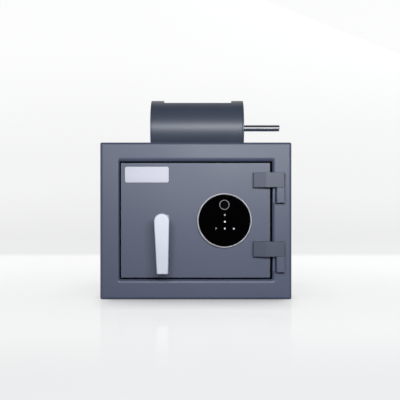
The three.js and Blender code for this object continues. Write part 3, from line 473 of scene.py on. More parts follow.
def rounded_rectangle(left, right, bottom, top, radius, steps):
    """Points of a rectangle with round corners, from the lower right one round."""
    right, top, left, bottom = right - radius, top - radius, left + radius, bottom + radius
    corners = ((right, bottom), (right, top), (left, top), (left, bottom))
    points = []
    for turn, (a, b) in enumerate(corners, -1):
        points += arc(a, b, radius, turn * QUARTER, (turn + 1) * QUARTER, steps)
    return points


def upright(points, y):
    """Pairs of X and Z as points at one depth."""
    return [(x, y, z) for x, z in points]


def rounded_loop(y, low, high, grow, radius, grow_left=None):
    """A loop at one depth around a box grown outwards, with round corners."""
    left = low.x - (grow if grow_left is None else grow_left)
    steps = settings().front.steps
    return upright(
        rounded_rectangle(left, high.x + grow, low.z - grow, high.z + grow, radius, steps), y
    )


def drawn_through(loops):
    """A closed chain of edges drawn out through a series of loops and back to its start."""
    bm = bmesh.new()
    verts = [bm.verts.new(p) for p in loops[0]]
    edges = [bm.edges.new(pair) for pair in zip(verts, verts[1:] + verts[:1])]
    for points in loops[1:] + loops[:1]:
        made = bmesh.ops.extrude_edge_only(bm, edges=edges)["geom"]
        fresh = set(verts_in(made))
        edges = [e for e in made if isinstance(e, bmesh.types.BMEdge) and fresh.issuperset(e.verts)]
        verts = [
            next(e.other_vert(v) for e in v.link_edges if e.other_vert(v) in fresh) for v in verts
        ]
        for vert, point in zip(verts, points):
            vert.co = point
    return bm


def rolled(places, stops, radius, axis, wall):
    """Sheet rolled about X from stop to stop. Four places and stops leave a window between."""
    bm = bmesh.new()
    y, z = math.sin(stops[0]) * radius, math.cos(stops[0]) * radius + axis.z
    verts = [bm.verts.new((x, y, z)) for x in places]
    geom = verts + [bm.edges.new(pair) for pair in zip(verts, verts[1:])]
    for start, end in zip(stops, stops[1:]):
        steps = max(2, round(settings().housing.steps * (end - start) / FULL_TURN))
        geom = bmesh.ops.spin(
            bm, geom=geom, cent=axis, axis=AXES["x"], angle=start - end, steps=steps,
            use_merge=False,
        )["geom_last"]
    if len(places) == 4:
        hole = []
        for face in bm.faces:
            middle = face.calc_center_median()
            turn = math.atan2(middle.y, middle.z - axis.z)
            if places[1] < middle.x < places[2] and stops[1] < turn < stops[2]:
                hole.append(face)
        bmesh.ops.delete(bm, geom=hole, context="FACES")
    bmesh.ops.remove_doubles(bm, verts=bm.verts, dist=WELD)
    bmesh.ops.recalc_face_normals(bm, faces=bm.faces)
    outward = 0
    for face in bm.faces:
        middle = face.calc_center_median()
        outward += face.normal.dot(middle - Vector((middle.x, 0, axis.z)))
    if outward < 0:
        bmesh.ops.reverse_faces(bm, faces=bm.faces)
    bmesh.ops.solidify(bm, geom=bm.faces[:] + bm.edges[:] + bm.verts[:], thickness=wall)
    return bm


def combined(base, tool, operation):
    """Two closed shapes joined or cut. Both are used up."""
    made = []
    for bm in (base, tool):
        bmesh.ops.recalc_face_normals(bm, faces=bm.faces)
        made.append(object_of("shape", bm))
    modifier = made[0].modifiers.new("combine", "BOOLEAN")
    modifier.operation, modifier.solver, modifier.object = operation, "EXACT", made[1]
    bpy.context.view_layer.update()
    result = bmesh.new()
    result.from_object(made[0], bpy.context.evaluated_depsgraph_get())
    for shape in made:
        mesh = shape.data
        bpy.data.objects.remove(shape)
        bpy.data.meshes.remove(mesh)
    return merged(result)


# Shader helpers and shared groups


def fill(tree, node, values):
    """Feeds a node's inputs with plain values, colours or other nodes' outputs."""
    for label, value in values.items():
        socket = node.inputs[label]
        if isinstance(value, bpy.types.NodeSocket):
            tree.links.new(value, socket)
        elif socket.type == "RGBA" and len(value) == 3:
            socket.default_value = (*value, 1.0)
        else:
            socket.default_value = value


def add(tree, kind, values=None, **options):
    """A new node with its options set and its inputs filled."""
    node = tree.nodes.new(f"ShaderNode{kind}")
    for option, value in options.items():
        setattr(node, option, value)
    fill(tree, node, values or {})
    return node


def worked_out(tree, operation, *values):
    """A value from a math node."""
    return add(tree, "Math", dict(enumerate(values)), operation=operation).outputs[0]


def coordinates(tree):
    return add(tree, "TexCoord").outputs["Object"]


def noise(tree, scale, detail=2.0, roughness=0.5, vector=None):
    """Noise on object coordinates, or on a vector."""
    place = vector or coordinates(tree)
    values = {"Vector": place, "Scale": scale, "Detail": detail, "Roughness": roughness}
    return add(tree, "TexNoise", values).outputs["Fac"]


def mixed(tree, factor, first, second, blend="MIX"):
    """A colour mix."""
    values = {0: factor, 6: first, 7: second}
    return add(tree, "Mix", values, data_type="RGBA", blend_type=blend).outputs[2]


def mapped(tree, value, from_low, from_high, to_low=0.0, to_high=1.0):
    values = {
        "Value": value, "From Min": from_low, "From Max": from_high, "To Min": to_low,
        "To Max": to_high,
    }
    return add(tree, "MapRange", values).outputs["Result"]


def scaled(tree, tint, factor):
    return add(tree, "VectorMath", {0: tint, "Scale": factor}, operation="SCALE").outputs[0]


def new_group(name, inputs, outputs):
    """A node group with named sockets, the outputs of its input node, and its output node."""
    group = bpy.data.node_groups.new(name, "ShaderNodeTree")
    for label, default in inputs.items():
        kind = "Float" if isinstance(default, float) else ("Vector", "Color")[len(default) - 3]
        group.interface.new_socket(
            name=label, in_out="INPUT", socket_type=f"NodeSocket{kind}"
        ).default_value = default
    for label, kind in outputs.items():
        group.interface.new_socket(name=label, in_out="OUTPUT", socket_type=f"NodeSocket{kind}")
    given = group.nodes.new("NodeGroupInput").outputs
    return group, given, group.nodes.new("NodeGroupOutput")


def coat_grain_group():
    """Fine orange peel and grit of a baked powder coat."""
    inputs = {"Peel scale": 420.0, "Grit scale": 2600.0}
    group, given, made = new_group("coat_grain", inputs, {"Height": "Float"})
    peel = noise(group, given["Peel scale"])
    grit = noise(group, given["Grit scale"], 1.0)
    fill(group, made, {"Height": worked_out(group, "MULTIPLY_ADD", grit, 0.35, peel)})
    return group


def mottle_group():
    """Slow unevenness of a colour, with a fine speckle over it."""
    inputs = {
        "Color": (0.5, 0.5, 0.5, 1.0), "Cloud scale": 9.0, "Cloud amount": 0.1,
        "Speckle scale": 1500.0, "Speckle amount": 0.1,
    }
    group, given, made = new_group("mottle", inputs, {"Color": "Color", "Cloud": "Float"})
    cloud = noise(group, given["Cloud scale"], 4.0, 0.55)
    speckle = noise(group, given["Speckle scale"], 1.0)
    parts = []
    for pattern, amount in ((cloud, "Cloud amount"), (speckle, "Speckle amount")):
        uneven = worked_out(group, "SUBTRACT", pattern, 0.5)
        parts.append(worked_out(group, "MULTIPLY", uneven, given[amount]))
    brightness = worked_out(group, "ADD", worked_out(group, "ADD", *parts), 1.0)
    fill(group, made, {"Color": scaled(group, given["Color"], brightness), "Cloud": cloud})
    return group


def edge_wear_group():
    """Where a surface turns over an edge, broken up by noise."""
    inputs = {"Width": 0.0012, "Breakup scale": 140.0, "Strength": 1.0}
    group, given, made = new_group("edge_wear", inputs, {"Mask": "Float"})
    bevel = add(group, "Bevel", {"Radius": given["Width"]}, samples=4)
    values = {0: bevel.outputs["Normal"], 1: add(group, "NewGeometry").outputs["True Normal"]}
    dot = add(group, "VectorMath", values, operation="DOT_PRODUCT")
    turn = mapped(group, dot.outputs["Value"], 0.995, 0.80)
    broken = mapped(group, noise(group, given["Breakup scale"], 3.0), 0.35, 0.65, 0.25)
    mask = worked_out(group, "MULTIPLY", turn, broken)
    fill(group, made, {"Mask": worked_out(group, "MULTIPLY", mask, given["Strength"])})
    return group


def brushed_group():
    """Fine parallel scratches drawn along one axis, by the Stretch vector."""
    inputs = {"Stretch": (1.0, 1.0, 1.0), "Scale": 900.0}
    group, given, made = new_group("brushed", inputs, {"Height": "Float", "Shade": "Float"})
    values = {0: coordinates(group), 1: given["Stretch"]}
    stretched = add(group, "VectorMath", values, operation="MULTIPLY").outputs[0]
    fine = noise(group, given["Scale"], 3.0, 0.6, stretched)
    broad = noise(group, 60.0, vector=stretched)
    shade = worked_out(group, "MULTIPLY_ADD", broad, 0.4, worked_out(group, "MULTIPLY", fine, 0.6))
    fill(group, made, {"Height": fine, "Shade": shade})
    return group


def settled_dust_group():
    """Thin dust on faces that look up."""
    inputs = {"Amount": 0.1, "Scale": 45.0}
    group, given, made = new_group("settled_dust", inputs, {"Mask": "Float"})
    normal = add(group, "NewGeometry").outputs["Normal"]
    up = mapped(group, add(group, "SeparateXYZ", {0: normal}).outputs["Z"], 0.6, 1.0)
    patches = mapped(group, noise(group, given["Scale"], 5.0, 0.6), 0.4, 0.7, 0.3)
    mask = worked_out(group, "MULTIPLY", up, patches)
    fill(group, made, {"Mask": worked_out(group, "MULTIPLY", mask, given["Amount"])})
    return group


GROUPS = {
    "coat_grain": coat_grain_group,
    "mottle": mottle_group,
    "edge_wear": edge_wear_group,
    "brushed": brushed_group,
    "settled_dust": settled_dust_group,
}


def placed(tree, name, **values):
    """The outputs of a shared group placed in a material, its inputs set by name."""
    group = bpy.data.node_groups.get(name) or GROUPS[name]()
    labels = {label.replace("_", " ").capitalize(): value for label, value in values.items()}
    return add(tree, "Group", labels, node_tree=group).outputs


def mottled(tree, tint, clouds, speckles=(1500.0, 0.0)):
    """A tint with clouds and speckles, each given as its scale and amount."""
    return placed(
        tree, "mottle", color=tint, cloud_scale=clouds[0], cloud_amount=clouds[1],
        speckle_scale=speckles[0], speckle_amount=speckles[1],
    )


def bumped(tree, shader, height, depth, strength):
    """A shader's surface raised by a pattern, its depth in millimetres."""
    bump = add(tree, "Bump", {"Height": height, "Distance": depth * MM, "Strength": strength})
    fill(tree, shader, {"Normal": bump.outputs["Normal"]})


def grained(tree, shader, peel, grit, depth, strength):
    grain = placed(tree, "coat_grain", peel_scale=peel, grit_scale=grit)
    bumped(tree, shader, grain["Height"], depth, strength)


# Materials: each function fills the shader of a new material


def powder_coat(tree, shader, tint, sheen, specular):
    """Baked powder coat: fine orange peel, slow clouds, thin at the edges, dusty on top."""
    finish = settings().finish
    rough = getattr(finish, sheen)
    mottle = mottled(tree, getattr(finish, tint), (7.0, 0.10), (1900.0, 0.22))
    wear = placed(tree, "edge_wear", width=1.4 * MM, breakup_scale=120.0, strength=0.35)
    worn = mixed(tree, wear["Mask"], mottle["Color"], finish.paint_light)
    dust = placed(tree, "settled_dust", amount=0.05)
    fill(tree, shader, {
        "Base Color": mixed(tree, dust["Mask"], worn, srgb(170, 172, 176)),
        "Roughness": mapped(tree, mottle["Cloud"], 0.3, 0.7, rough - 0.03, rough + 0.04),
        "Specular IOR Level": specular,
    })
    grained(tree, shader, 520.0, 3000.0, 0.05, 0.35)


def metal(tree, shader, tint, rough, grain, tone, metallic=1.0, wear=0.2, bump=0.02, stretch=1.0):
    """A worked metal with its grain, tone and handling marks."""
    tint = getattr(settings().finish, tint)
    mottle = mottled(tree, tint, (28.0, 0.12), (900.0, 0.06))
    brushed = placed(tree, "brushed", stretch=(stretch, 1.0, 1.0), scale=grain)
    edge = placed(tree, "edge_wear", width=0.8 * MM, breakup_scale=260.0, strength=wear)
    shade = mapped(tree, brushed["Shade"], 0.3, 0.7, 1.0 - tone, 1.0 + tone)
    toned = scaled(tree, mottle["Color"], shade)
    bright = [min(1.0, c * 1.25) for c in tint]
    fill(tree, shader, {
        "Base Color": mixed(tree, edge["Mask"], toned, bright),
        "Roughness": mapped(tree, brushed["Height"], 0.3, 0.7, rough * 0.85, rough * 1.2),
        "Metallic": metallic,
    })
    bumped(tree, shader, brushed["Height"], bump, 0.4)


def satin_alloy(tree, shader):
    """Fine cast silver."""
    mottle = mottled(tree, settings().finish.silver, (30.0, 0.05), (2200.0, 0.07))
    rough = mapped(tree, mottle["Cloud"], 0.3, 0.7, 0.38, 0.46)
    fill(tree, shader, {"Base Color": mottle["Color"], "Roughness": rough, "Metallic": 0.2})
    grained(tree, shader, 900.0, 4200.0, 0.02, 0.35)


def gloss_black(tree, shader, rough=0.06):
    """Gloss black with faint smears."""
    mottle = mottled(tree, settings().finish.glass, (60.0, 0.2), (3000.0, 0.3))
    smears = mapped(tree, noise(tree, 70.0, 4.0, 0.65), 0.45, 0.75, rough, rough + 0.07)
    fill(tree, shader, {
        "Base Color": mottle["Color"], "Roughness": smears, "Specular IOR Level": 0.01,
    })


def sensor_face(tree, shader):
    """Dull black pad with fine rings."""
    gloss_black(tree, shader, 0.3)
    low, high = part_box("fingerprint_sensor")
    values = {"Vector": coordinates(tree), "Location": -(low + high) / 2}
    centred = add(tree, "Mapping", values, vector_type="POINT").outputs["Vector"]
    values = {"Vector": centred, "Scale": 260.0, "Distortion": 2.5, "Detail Scale": 0.6}
    wave = add(tree, "TexWave", values, wave_type="RINGS", rings_direction="Y")
    bumped(tree, shader, wave.outputs["Fac"], 0.05, 0.6)


def lit_mark(tree, shader):
    """Pale mark that glows a little."""
    tone = mottled(tree, settings().finish.mark, (900.0, 0.12))["Color"]
    fill(tree, shader, {
        "Base Color": tone, "Emission Color": tone, "Roughness": 0.4,
        "Emission Strength": settings().lock.mark_strength,
    })


def moulded_plastic(tree, shader):
    """Black plastic with a moulded grain, rubbed edges and dust."""
    mottle = mottled(tree, settings().finish.plastic, (25.0, 0.15), (2400.0, 0.3))
    wear = placed(tree, "edge_wear", width=0.9 * MM, breakup_scale=300.0, strength=0.3)
    dust = placed(tree, "settled_dust", amount=0.12)
    worn = mixed(tree, wear["Mask"], mottle["Color"], srgb(62, 62, 66))
    dusty = mixed(tree, dust["Mask"], worn, srgb(120, 118, 114))
    fill(tree, shader, {"Base Color": dusty, "Roughness": 0.55})
    grained(tree, shader, 1300.0, 3600.0, 0.06, 0.5)


def shade_foam(tree, shader):
    """Matt near-black foam with fine cells, dark enough to paint the shade in the gap around the
    door.
    """
    mottle = mottled(tree, srgb(7, 7, 8), (80.0, 0.3), (2600.0, 0.5))
    fill(tree, shader, {
        "Base Color": mottle["Color"], "Roughness": 0.95, "Specular IOR Level": 0.05,
    })
    grained(tree, shader, 1800.0, 4200.0, 0.15, 0.8)


def cell_wrap(tree, shader, node, up):
    """Wrap of a dry cell: dark sleeve, copper-toned band at its plus end, bare steel ends."""
    cell = settings().cell
    low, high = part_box(node)
    plus, minus = (high.z, low.z) if up > 0 else (low.z, high.z)
    height = add(tree, "SeparateXYZ", {0: coordinates(tree)}).outputs["Z"]

    def beyond(edge, way):
        return mapped(tree, height, edge, edge + way * cell.blend)

    band = beyond(plus - up * (cell.band + cell.shoulder), up)
    sleeve = mixed(tree, band, srgb(40, 46, 56), srgb(176, 112, 66))
    top = beyond(plus - up * (cell.shoulder + cell.blend), up)
    bare = worked_out(tree, "MAXIMUM", top, beyond(minus + up * cell.crimp / 2, -up))
    toned = mixed(tree, bare, sleeve, srgb(176, 178, 182))
    mottle = mottled(tree, toned, (90.0, 0.12), (1500.0, 0.05))
    fill(tree, shader, {
        "Base Color": mottle["Color"],
        "Roughness": mapped(tree, mottle["Cloud"], 0.3, 0.7, 0.24, 0.36),
        "Metallic": mapped(tree, bare, 0.0, 1.0, 0.35, 1.0),
    })


def tones(tree, place, low, high, stops):
    """Greys along one direction, each stop a share of the way and a screen grey."""
    ramp = add(tree, "ValToRGB", {0: mapped(tree, place, low, high)})
    ramp.color_ramp.interpolation = "EASE"
    elements = ramp.color_ramp.elements
    while len(elements) < len(stops):
        elements.new(0.5)
    for element, (position, grey) in zip(elements, stops):
        element.position = position
        element.color = (*srgb(grey, grey, grey), 1.0)
    return ramp.outputs[0]


def rays(tree):
    """Whether a ray comes from the camera, and whether it is mirrored or passes through."""
    path = add(tree, "LightPath").outputs
    mirrored = worked_out(tree, "MAXIMUM", path["Is Glossy Ray"], path["Is Transmission Ray"])
    return path["Is Camera Ray"], mirrored


def pale_paper(tree, shader):
    """Paper lit a little by the lamps, lifted to its own tone where it is seen."""
    mottle = mottled(tree, srgb(70, 71, 73), (2.0, 0.02))
    fill(tree, shader, {
        "Base Color": mottle["Color"], "Roughness": 0.6, "Specular IOR Level": 0.0,
    })
    place = coordinates(tree)
    parts = add(tree, "SeparateXYZ", {0: place}).outputs
    wall = tones(tree, parts["Z"], -0.1, 0.9, WALL_TONES)
    floor = tones(tree, parts["Y"], -0.9, 1.1, FLOOR_TONES)
    standing = mapped(tree, parts["Y"], 0.835, 0.985)
    values = {"Distance": settings().stage.shade_reach}
    shade = add(tree, "AmbientOcclusion", values, samples=8).outputs["Color"]
    beside = mapped(tree, worked_out(tree, "ABSOLUTE", parts["X"]), 0.15, 0.19, 1.0, 0.2)
    behind = mapped(tree, parts["Y"], 0.2, 0.4, 1.0, 0.0)
    near = worked_out(tree, "MULTIPLY", beside, behind)
    shaded = mixed(tree, near, (1.0, 1.0, 1.0), shade)
    toned = mixed(tree, 1.0, mixed(tree, standing, floor, wall), shaded, "MULTIPLY")
    seen, mirrored = rays(tree)
    dimmed = mapped(tree, standing, 0.0, 1.0, 0.85, 0.95)
    glow = worked_out(tree, "MAXIMUM", seen, worked_out(tree, "MULTIPLY", mirrored, dimmed))
    lit = add(tree, "Emission", {"Color": toned, "Strength": glow}).outputs[0]
    total = add(tree, "AddShader", {0: shader.outputs[0], 1: lit}).outputs[0]
    gloss = add(tree, "BsdfGlossy", {"Roughness": 0.07}).outputs[0]
    away = add(tree, "VectorMath", {0: place}, operation="LENGTH").outputs["Value"]
    sheen = mapped(tree, away, 0.35, 0.7, 0.11, 0.0)
    surface = add(tree, "MixShader", {0: sheen, 1: total, 2: gloss}).outputs[0]
    fill(tree, tree.nodes["Material Output"], {"Surface": surface})


PAINT_SHEEN = {"sheen": "paint_roughness", "specular": 0.42}
MATERIALS = {
    "powder_coat": (powder_coat, dict(tint="paint", **PAINT_SHEEN)),
    # Painted shade: the body's coat in a darker tint on the hinge leaves
    "shaded_hinge_coat": (powder_coat, dict(tint="shaded_hinge_paint", **PAINT_SHEEN)),
    "drum_coat": (powder_coat, dict(tint="drum_paint", sheen="drum_roughness", specular=0.5)),
    "satin_alloy": (satin_alloy, {}),
    "badge_alloy": (metal, dict(
        tint="badge", rough=0.36, grain=1500.0, tone=0.05, metallic=0.12, bump=0.015, stretch=0.03
    )),
    "bright_steel": (metal, dict(tint="steel", rough=0.3, grain=500.0, tone=0.06, wear=0.3)),
    "zinc_plate": (metal, dict(tint="zinc", rough=0.42, grain=120.0, tone=0.14, metallic=0.9)),
    "bearing_bronze": (metal, dict(
        tint="bronze", rough=0.38, grain=1400.0, tone=0.12, metallic=0.95, bump=0.03
    )),
    "polished_chrome": (metal, dict(
        tint="chrome", rough=0.05, grain=240.0, tone=0.02, wear=0.0, bump=0.002
    )),
    "satin_ring": (metal, dict(
        tint="ring", rough=0.4, grain=900.0, tone=0.04, metallic=0.4, bump=0.01
    )),
    "dark_ring": (metal, dict(
        tint="sensor_ring", rough=0.4, grain=900.0, tone=0.04, metallic=0.3, bump=0.01
    )),
    "lock_glass": (gloss_black, {}),
    "sensor_face": (sensor_face, {}),
    "lit_mark": (lit_mark, {}),
    "moulded_plastic": (moulded_plastic, {}),
    # Near-black foam: painted shade in the gap around the door
    "shade_foam": (shade_foam, {}),
    "cell_wrap_up": (cell_wrap, dict(node="aa_cell_1", up=1)),
    "cell_wrap_down": (cell_wrap, dict(node="aa_cell_2", up=-1)),
    "pale_paper": (pale_paper, {}),
}


@functools.cache
def material_of(name):
    """A material by its name, made when it is first asked for."""
    material = bpy.data.materials.new(name)
    material.use_nodes = True
    tree = material.node_tree
    make, values = MATERIALS[name]
    make(tree, tree.nodes["Principled BSDF"], **values)
    return material


# Pieces


class DROPSAFE_OT_cabinet(Operator):
    """Body wrap of sides, roof and floor, with its back panel"""

    bl_idname = "dropsafe.cabinet"
    bl_label = "Cabinet"

    def execute(self, context):
        sheet = settings().edge.sheet
        wrap = copy_of("side_plate_left")
        for node in ("roof_plate", "side_plate_right", "floor_plate"):
            wrap = combined(wrap, copy_of(node), "UNION")
        round_edges(wrap, sheet, 2)
        nodes = ["side_plate_left", "side_plate_right", "roof_plate", "floor_plate"]
        place_piece("body_wrap", wrap, "cabinet", PAINT, nodes)
        refined("back_panel", "cabinet", PAINT, sheet, 2)
        return {"FINISHED"}


class DROPSAFE_OT_front_frame(Operator):
    """Folded front frame with its rolled opening, the rebate behind it and the near-black foam seal
    that paints shade into the door gap
    """

    bl_idname = "dropsafe.front_frame"
    bl_label = "Front frame"

    def execute(self, context):
        front = settings().front
        low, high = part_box("front_frame")
        inner_low, inner_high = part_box("door_rebate")
        face_back = low.y + front.wall
        least_corner = front.outer_corner / 6

        def outer(y, inset):
            return rounded_loop(y, low, high, -inset, max(front.outer_corner - inset, least_corner))

        def opening(y, part, wall=0.0):
            grow, grow_left = front.bend * part + wall, front.latch_bend * part + wall
            radius = front.corner + grow * front.corner_growth
            return rounded_loop(y, inner_low, inner_high, grow, radius, grow_left)

        turns = arc(0, 0, 1, 0, QUARTER, front.steps)
        loops = [outer(face_back, 0.0)]
        loops += [
            outer(low.y + front.edge_depth * (1 - s), front.edge_inset * (1 - c)) for c, s in turns
        ]
        loops += [opening(low.y + front.bend_depth * (1 - c), 1 - s) for c, s in turns]
        loops += [opening(high.y, 0.0), opening(high.y, 0.0, front.flange)]
        loops += [opening(face_back, 0.0, front.flange)]
        dress("front_frame", drawn_through(loops), "cabinet", PAINT)
        refined("door_rebate", "cabinet", PAINT, settings().edge.sheet, 2)
        self.shade_seal()
        return {"FINISHED"}

    def shade_seal(self):
        """Black foam strip: a foot on the rebate and a lip along the reveal around the door. Its
        near black paints the shade of the gap.
        """
        front = settings().front
        low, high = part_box("door_rebate")
        outer, wall = front.seal_gap, front.seal_wall
        inner = outer + front.seal_width
        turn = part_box("front_frame")[0].y + front.bend_depth
        lip, flare = turn - front.seal_lip, outer - front.seal_flare
        profile = (
            (outer, low.y), (outer, turn), (flare, lip), (flare + wall, lip), (outer + wall, turn),
            (outer + wall, low.y - wall), (inner, low.y - wall), (inner, low.y),
        )
        loops = [rounded_loop(y, low, high, -inset, front.corner) for inset, y in profile]
        place_piece("door_shade_seal", drawn_through(loops), "cabinet", ("black_plastic", "shade_foam"))


class DROPSAFE_OT_hinges(Operator):
    """Frame knuckles, door leaves and the pins between them"""

    bl_idname = "dropsafe.hinges"
    bl_label = "Hinges"

    def execute(self, context):
        edge = settings().edge
        for side in ("upper", "lower"):
            refined(f"hinge_knuckle_{side}", "cabinet", PAINT, edge.block)
            self.leaf(f"hinge_leaf_{side}")
            steel_pin(f"hinge_pin_{side}", "cabinet", "z", edge.turned)
        return {"FINISHED"}

    def leaf(self, node):
        """A door leaf, its sloped end a little fuller than the drawn one. Its paint is darkened:
        painted shade.
        """
        edge = settings().edge
        low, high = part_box(node)
        bm = copy_of(node)
        for vert in bm.verts:
            if vert.co.x < low.x + MM and vert.co.y < (low.y + high.y) / 2:
                vert.co.y += (low.y - vert.co.y) * edge.leaf_fill
        round_edges(bm, edge.block)
        dress(node, bm, "door", SHADED_LEAF_PAINT, edge.broad_face)


class DROPSAFE_OT_drum_housing(Operator):
    """Rolled cover on the roof with its window, end plates and bearings"""

    bl_idname = "dropsafe.drum_housing"
    bl_label = "Drum housing"

    def execute(self, context):
        housing = settings().housing
        low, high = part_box("drum_housing")
        radius = (high.y - low.y) / 2
        axis = Vector((0, 0, high.z - radius))
        reach = HALF_TURN - math.acos((axis.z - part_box("roof_plate")[1].z) / radius)
        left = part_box("housing_end_left")[0].x + housing.window_left
        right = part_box("housing_end_right")[1].x - housing.window_right
        stops = (-reach, -housing.window_front, housing.window_back, reach)
        bm = rolled((low.x, left, right, high.x), stops, radius, axis, housing.wall)
        round_edges(bm, housing.edge)
        dress("drum_housing", bm, "cabinet", COVER_PAINT)
        for side in ("left", "right"):
            self.end_plate(side, axis, radius, reach)
        for side in ("left", "right"):
            self.bearing(side)
        return {"FINISHED"}

    def end_plate(self, side, axis, radius, reach):
        housing = settings().housing
        node = f"housing_end_{side}"
        low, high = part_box(node)
        steps = round(housing.steps * reach / HALF_TURN)
        points = arc(0, axis.z, radius, QUARTER - reach, QUARTER + reach, steps)
        wall = high.x - low.x
        bm = drawn_out([(low.x, -y, z) for y, z in points], (wall, 0, 0))
        bm = bored(bm, BEARING_HOLE, low.x, high.x, "x", axis)
        if side == "right":
            bm = combined(bm, self.slot(low.x - wall, high.x + wall, axis.z), "DIFFERENCE")
        round_edges(bm, housing.edge / 2, 2)
        dress(node, bm, "cabinet", COVER_PAINT)

    def slot(self, left, right, axis_z, steps=48, end_steps=12):
        """The arc slot that the rod travels in, from the front over the top to the back."""
        housing = settings().housing
        orbit, half = housing.orbit, round_of("drum_rod", "z")[3] + housing.slot_gap
        last = HALF_TURN - housing.turn
        end = (orbit * math.cos(last), axis_z + orbit * math.sin(last))
        points = arc(0, axis_z, orbit + half, last, HALF_TURN, steps)
        points += arc(-orbit, axis_z, half, HALF_TURN, FULL_TURN, end_steps)[1:-1]
        points += arc(0, axis_z, orbit - half, HALF_TURN, last, steps)
        points += arc(*end, half, last + HALF_TURN, last + FULL_TURN, end_steps)[1:-1]
        return drawn_out([(left, y, z) for y, z in points], (right - left, 0, 0))

    def bearing(self, side):
        node = f"drum_bearing_{side}"
        low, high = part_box(node)
        plate_low, plate_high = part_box(f"housing_end_{side}")
        outer, face, inner = low.x, plate_low.x, high.x
        if side == "right":
            outer, face, inner = high.x, plate_high.x, low.x
        profile = [
            (BEARING_BORE, inner), (BEARING_BODY, inner), (BEARING_BODY, face),
            (BEARING_FLANGE, face), (BEARING_FLANGE, outer), (BEARING_BORE, outer),
        ]
        bm = turned(profile, "x", (low + high) / 2, ring=True)
        round_edges(bm, settings().edge.turned)
        dress(node, bm, "cabinet", ("bronze", "bearing_bronze"))


class DROPSAFE_OT_deposit_drum(Operator):
    """Deposit drum with its ends, stub axles, turning rod and nut"""

    bl_idname = "dropsafe.deposit_drum"
    bl_label = "Deposit drum"

    def execute(self, context):
        drum, edge = settings().drum, settings().edge
        low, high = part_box("drum_shell")
        middle, radius = round_of("drum_end_left", "y")[2:]
        axis = Vector((0, 0, middle.z))
        half = (FULL_TURN - drum.mouth) / 2
        bm = rolled((low.x, high.x), (-half, half), radius, axis, drum.wall)
        round_edges(bm, edge.sheet, 2)
        dress("drum_shell", bm, "drum", PAINT)
        for side in ("left", "right"):
            node = f"drum_end_{side}"
            low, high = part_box(node)
            bm = cylinder(radius, low.x, high.x, "x", axis, settings().housing.steps)
            if side == "right":
                hole = drum.shank + ROD_CLEARANCE
                bm = bored(bm, hole, low.x, high.x, "x", round_of("drum_rod")[2])
            round_edges(bm, edge.sheet, 2)
            dress(node, bm, "drum", PAINT)
            steel_pin(f"drum_journal_{side}", "drum", "x", edge.turned * 2)
        self.rod()
        low, high, middle, radius = round_of("rod_nut", "z")
        bore = drum.shank + ROD_CLEARANCE
        profile = [(bore, low.x), (radius, low.x), (radius, high.x), (bore, high.x)]
        bm = turned(profile, "x", middle, HEXAGON, ring=True)
        round_edges(bm, edge.turned, 2)
        dress("rod_nut", bm, "drum", STEEL)
        return {"FINISHED"}

    def rod(self):
        """Chrome rod with a round tip and a threaded shank, left out of the soft panel's light."""
        drum = settings().drum
        low, high, middle, radius = round_of("drum_rod", "z")
        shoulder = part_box("drum_end_right")[1].x
        root, place = drum.shank - THREAD_DEPTH, low.x + THREAD_START
        profile = [(0, low.x), (root, low.x)]
        while place < shoulder - THREAD_END:
            profile += [(root, place), (drum.shank, place + drum.thread / 2)]
            place += drum.thread
        profile += [(drum.shank, shoulder), (radius - ROD_CHAMFER, shoulder)]
        profile += [(radius, shoulder + ROD_CHAMFER)]
        profile += arc(radius - drum.rod_tip, high.x - drum.rod_tip, drum.rod_tip, 0, QUARTER, 8)
        bm = turned(profile + [(0, high.x)], "x", middle, BORE_STEPS)
        rod = dress("drum_rod", bm, "drum", ("chrome", "polished_chrome"))
        soft_lit = bpy.data.collections[SOFT_LIT]
        soft_lit.objects.link(rod)
        soft_lit.collection_objects[0].light_linking.link_state = "EXCLUDE"


class DROPSAFE_OT_baffle(Operator):
    """Sloped plate under the drop hole"""

    bl_idname = "dropsafe.baffle"
    bl_label = "Drop baffle"

    def execute(self, context):
        look = ("sheet_steel", "zinc_plate")
        refined("drop_baffle", "cabinet", look, settings().edge.sheet)
        return {"FINISHED"}


class DROPSAFE_OT_door(Operator):
    """Door plate, the pan behind it and its inner cover with screws"""

    bl_idname = "dropsafe.door"
    bl_label = "Door"

    def execute(self, context):
        edge = settings().edge
        low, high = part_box("door_plate")
        bm = copy_of("door_plate")
        for vert in bm.verts:
            if vert.co.x < low.x + MM:
                vert.co.x += edge.door_trim
            if vert.co.z > high.z - MM:
                vert.co.z -= edge.door_trim
        round_edges(bm, edge.plate)
        dress("door_plate", bm, "door", PAINT)
        refined("door_pan", "door", PAINT, edge.sheet)
        refined("inner_cover", "door", PAINT, edge.sheet)
        low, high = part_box("inner_cover")
        inset = settings().screw.inset
        columns = (low.x + inset, (low.x + high.x) / 2, high.x - inset)
        places = [(x, z) for z in (low.z + inset, high.z - inset) for x in columns]
        for index, (x, z) in enumerate(places, 1):
            self.screw(f"cover_screw_{index}", Vector((x, high.y, z)), index)
        return {"FINISHED"}

    def screw(self, name, foot, turn):
        """A pan-head screw with a cross recess, each turned to its own angle."""
        screw = settings().screw
        sunk = foot.y - screw.rise / 4
        profile = [(0, sunk), (screw.head, sunk)]
        for radius, height in arc(0, 0, screw.head, 0, QUARTER, 6):
            profile.append((radius, foot.y + screw.rise * height / screw.head))
        bm = turned(profile, "y", foot, SCREW_STEPS)
        size = (2 * CROSS_REACH * screw.head, screw.rise + screw.recess, screw.slot, 1)
        middle = Matrix.Translation((0, (screw.rise - screw.recess) / 2, 0))
        top = Matrix.Translation((foot.x, foot.y + screw.rise, foot.z))
        for side in (0, QUARTER):
            tool = bmesh.new()
            bmesh.ops.create_cube(tool, size=1, matrix=middle @ Matrix.Diagonal(size))
            place = top @ Matrix.Rotation(side + turn, 4, "Y")
            bmesh.ops.transform(tool, matrix=place, verts=tool.verts)
            bm = combined(bm, tool, "DIFFERENCE")
        place_piece(name, bm, "door", ZINC)


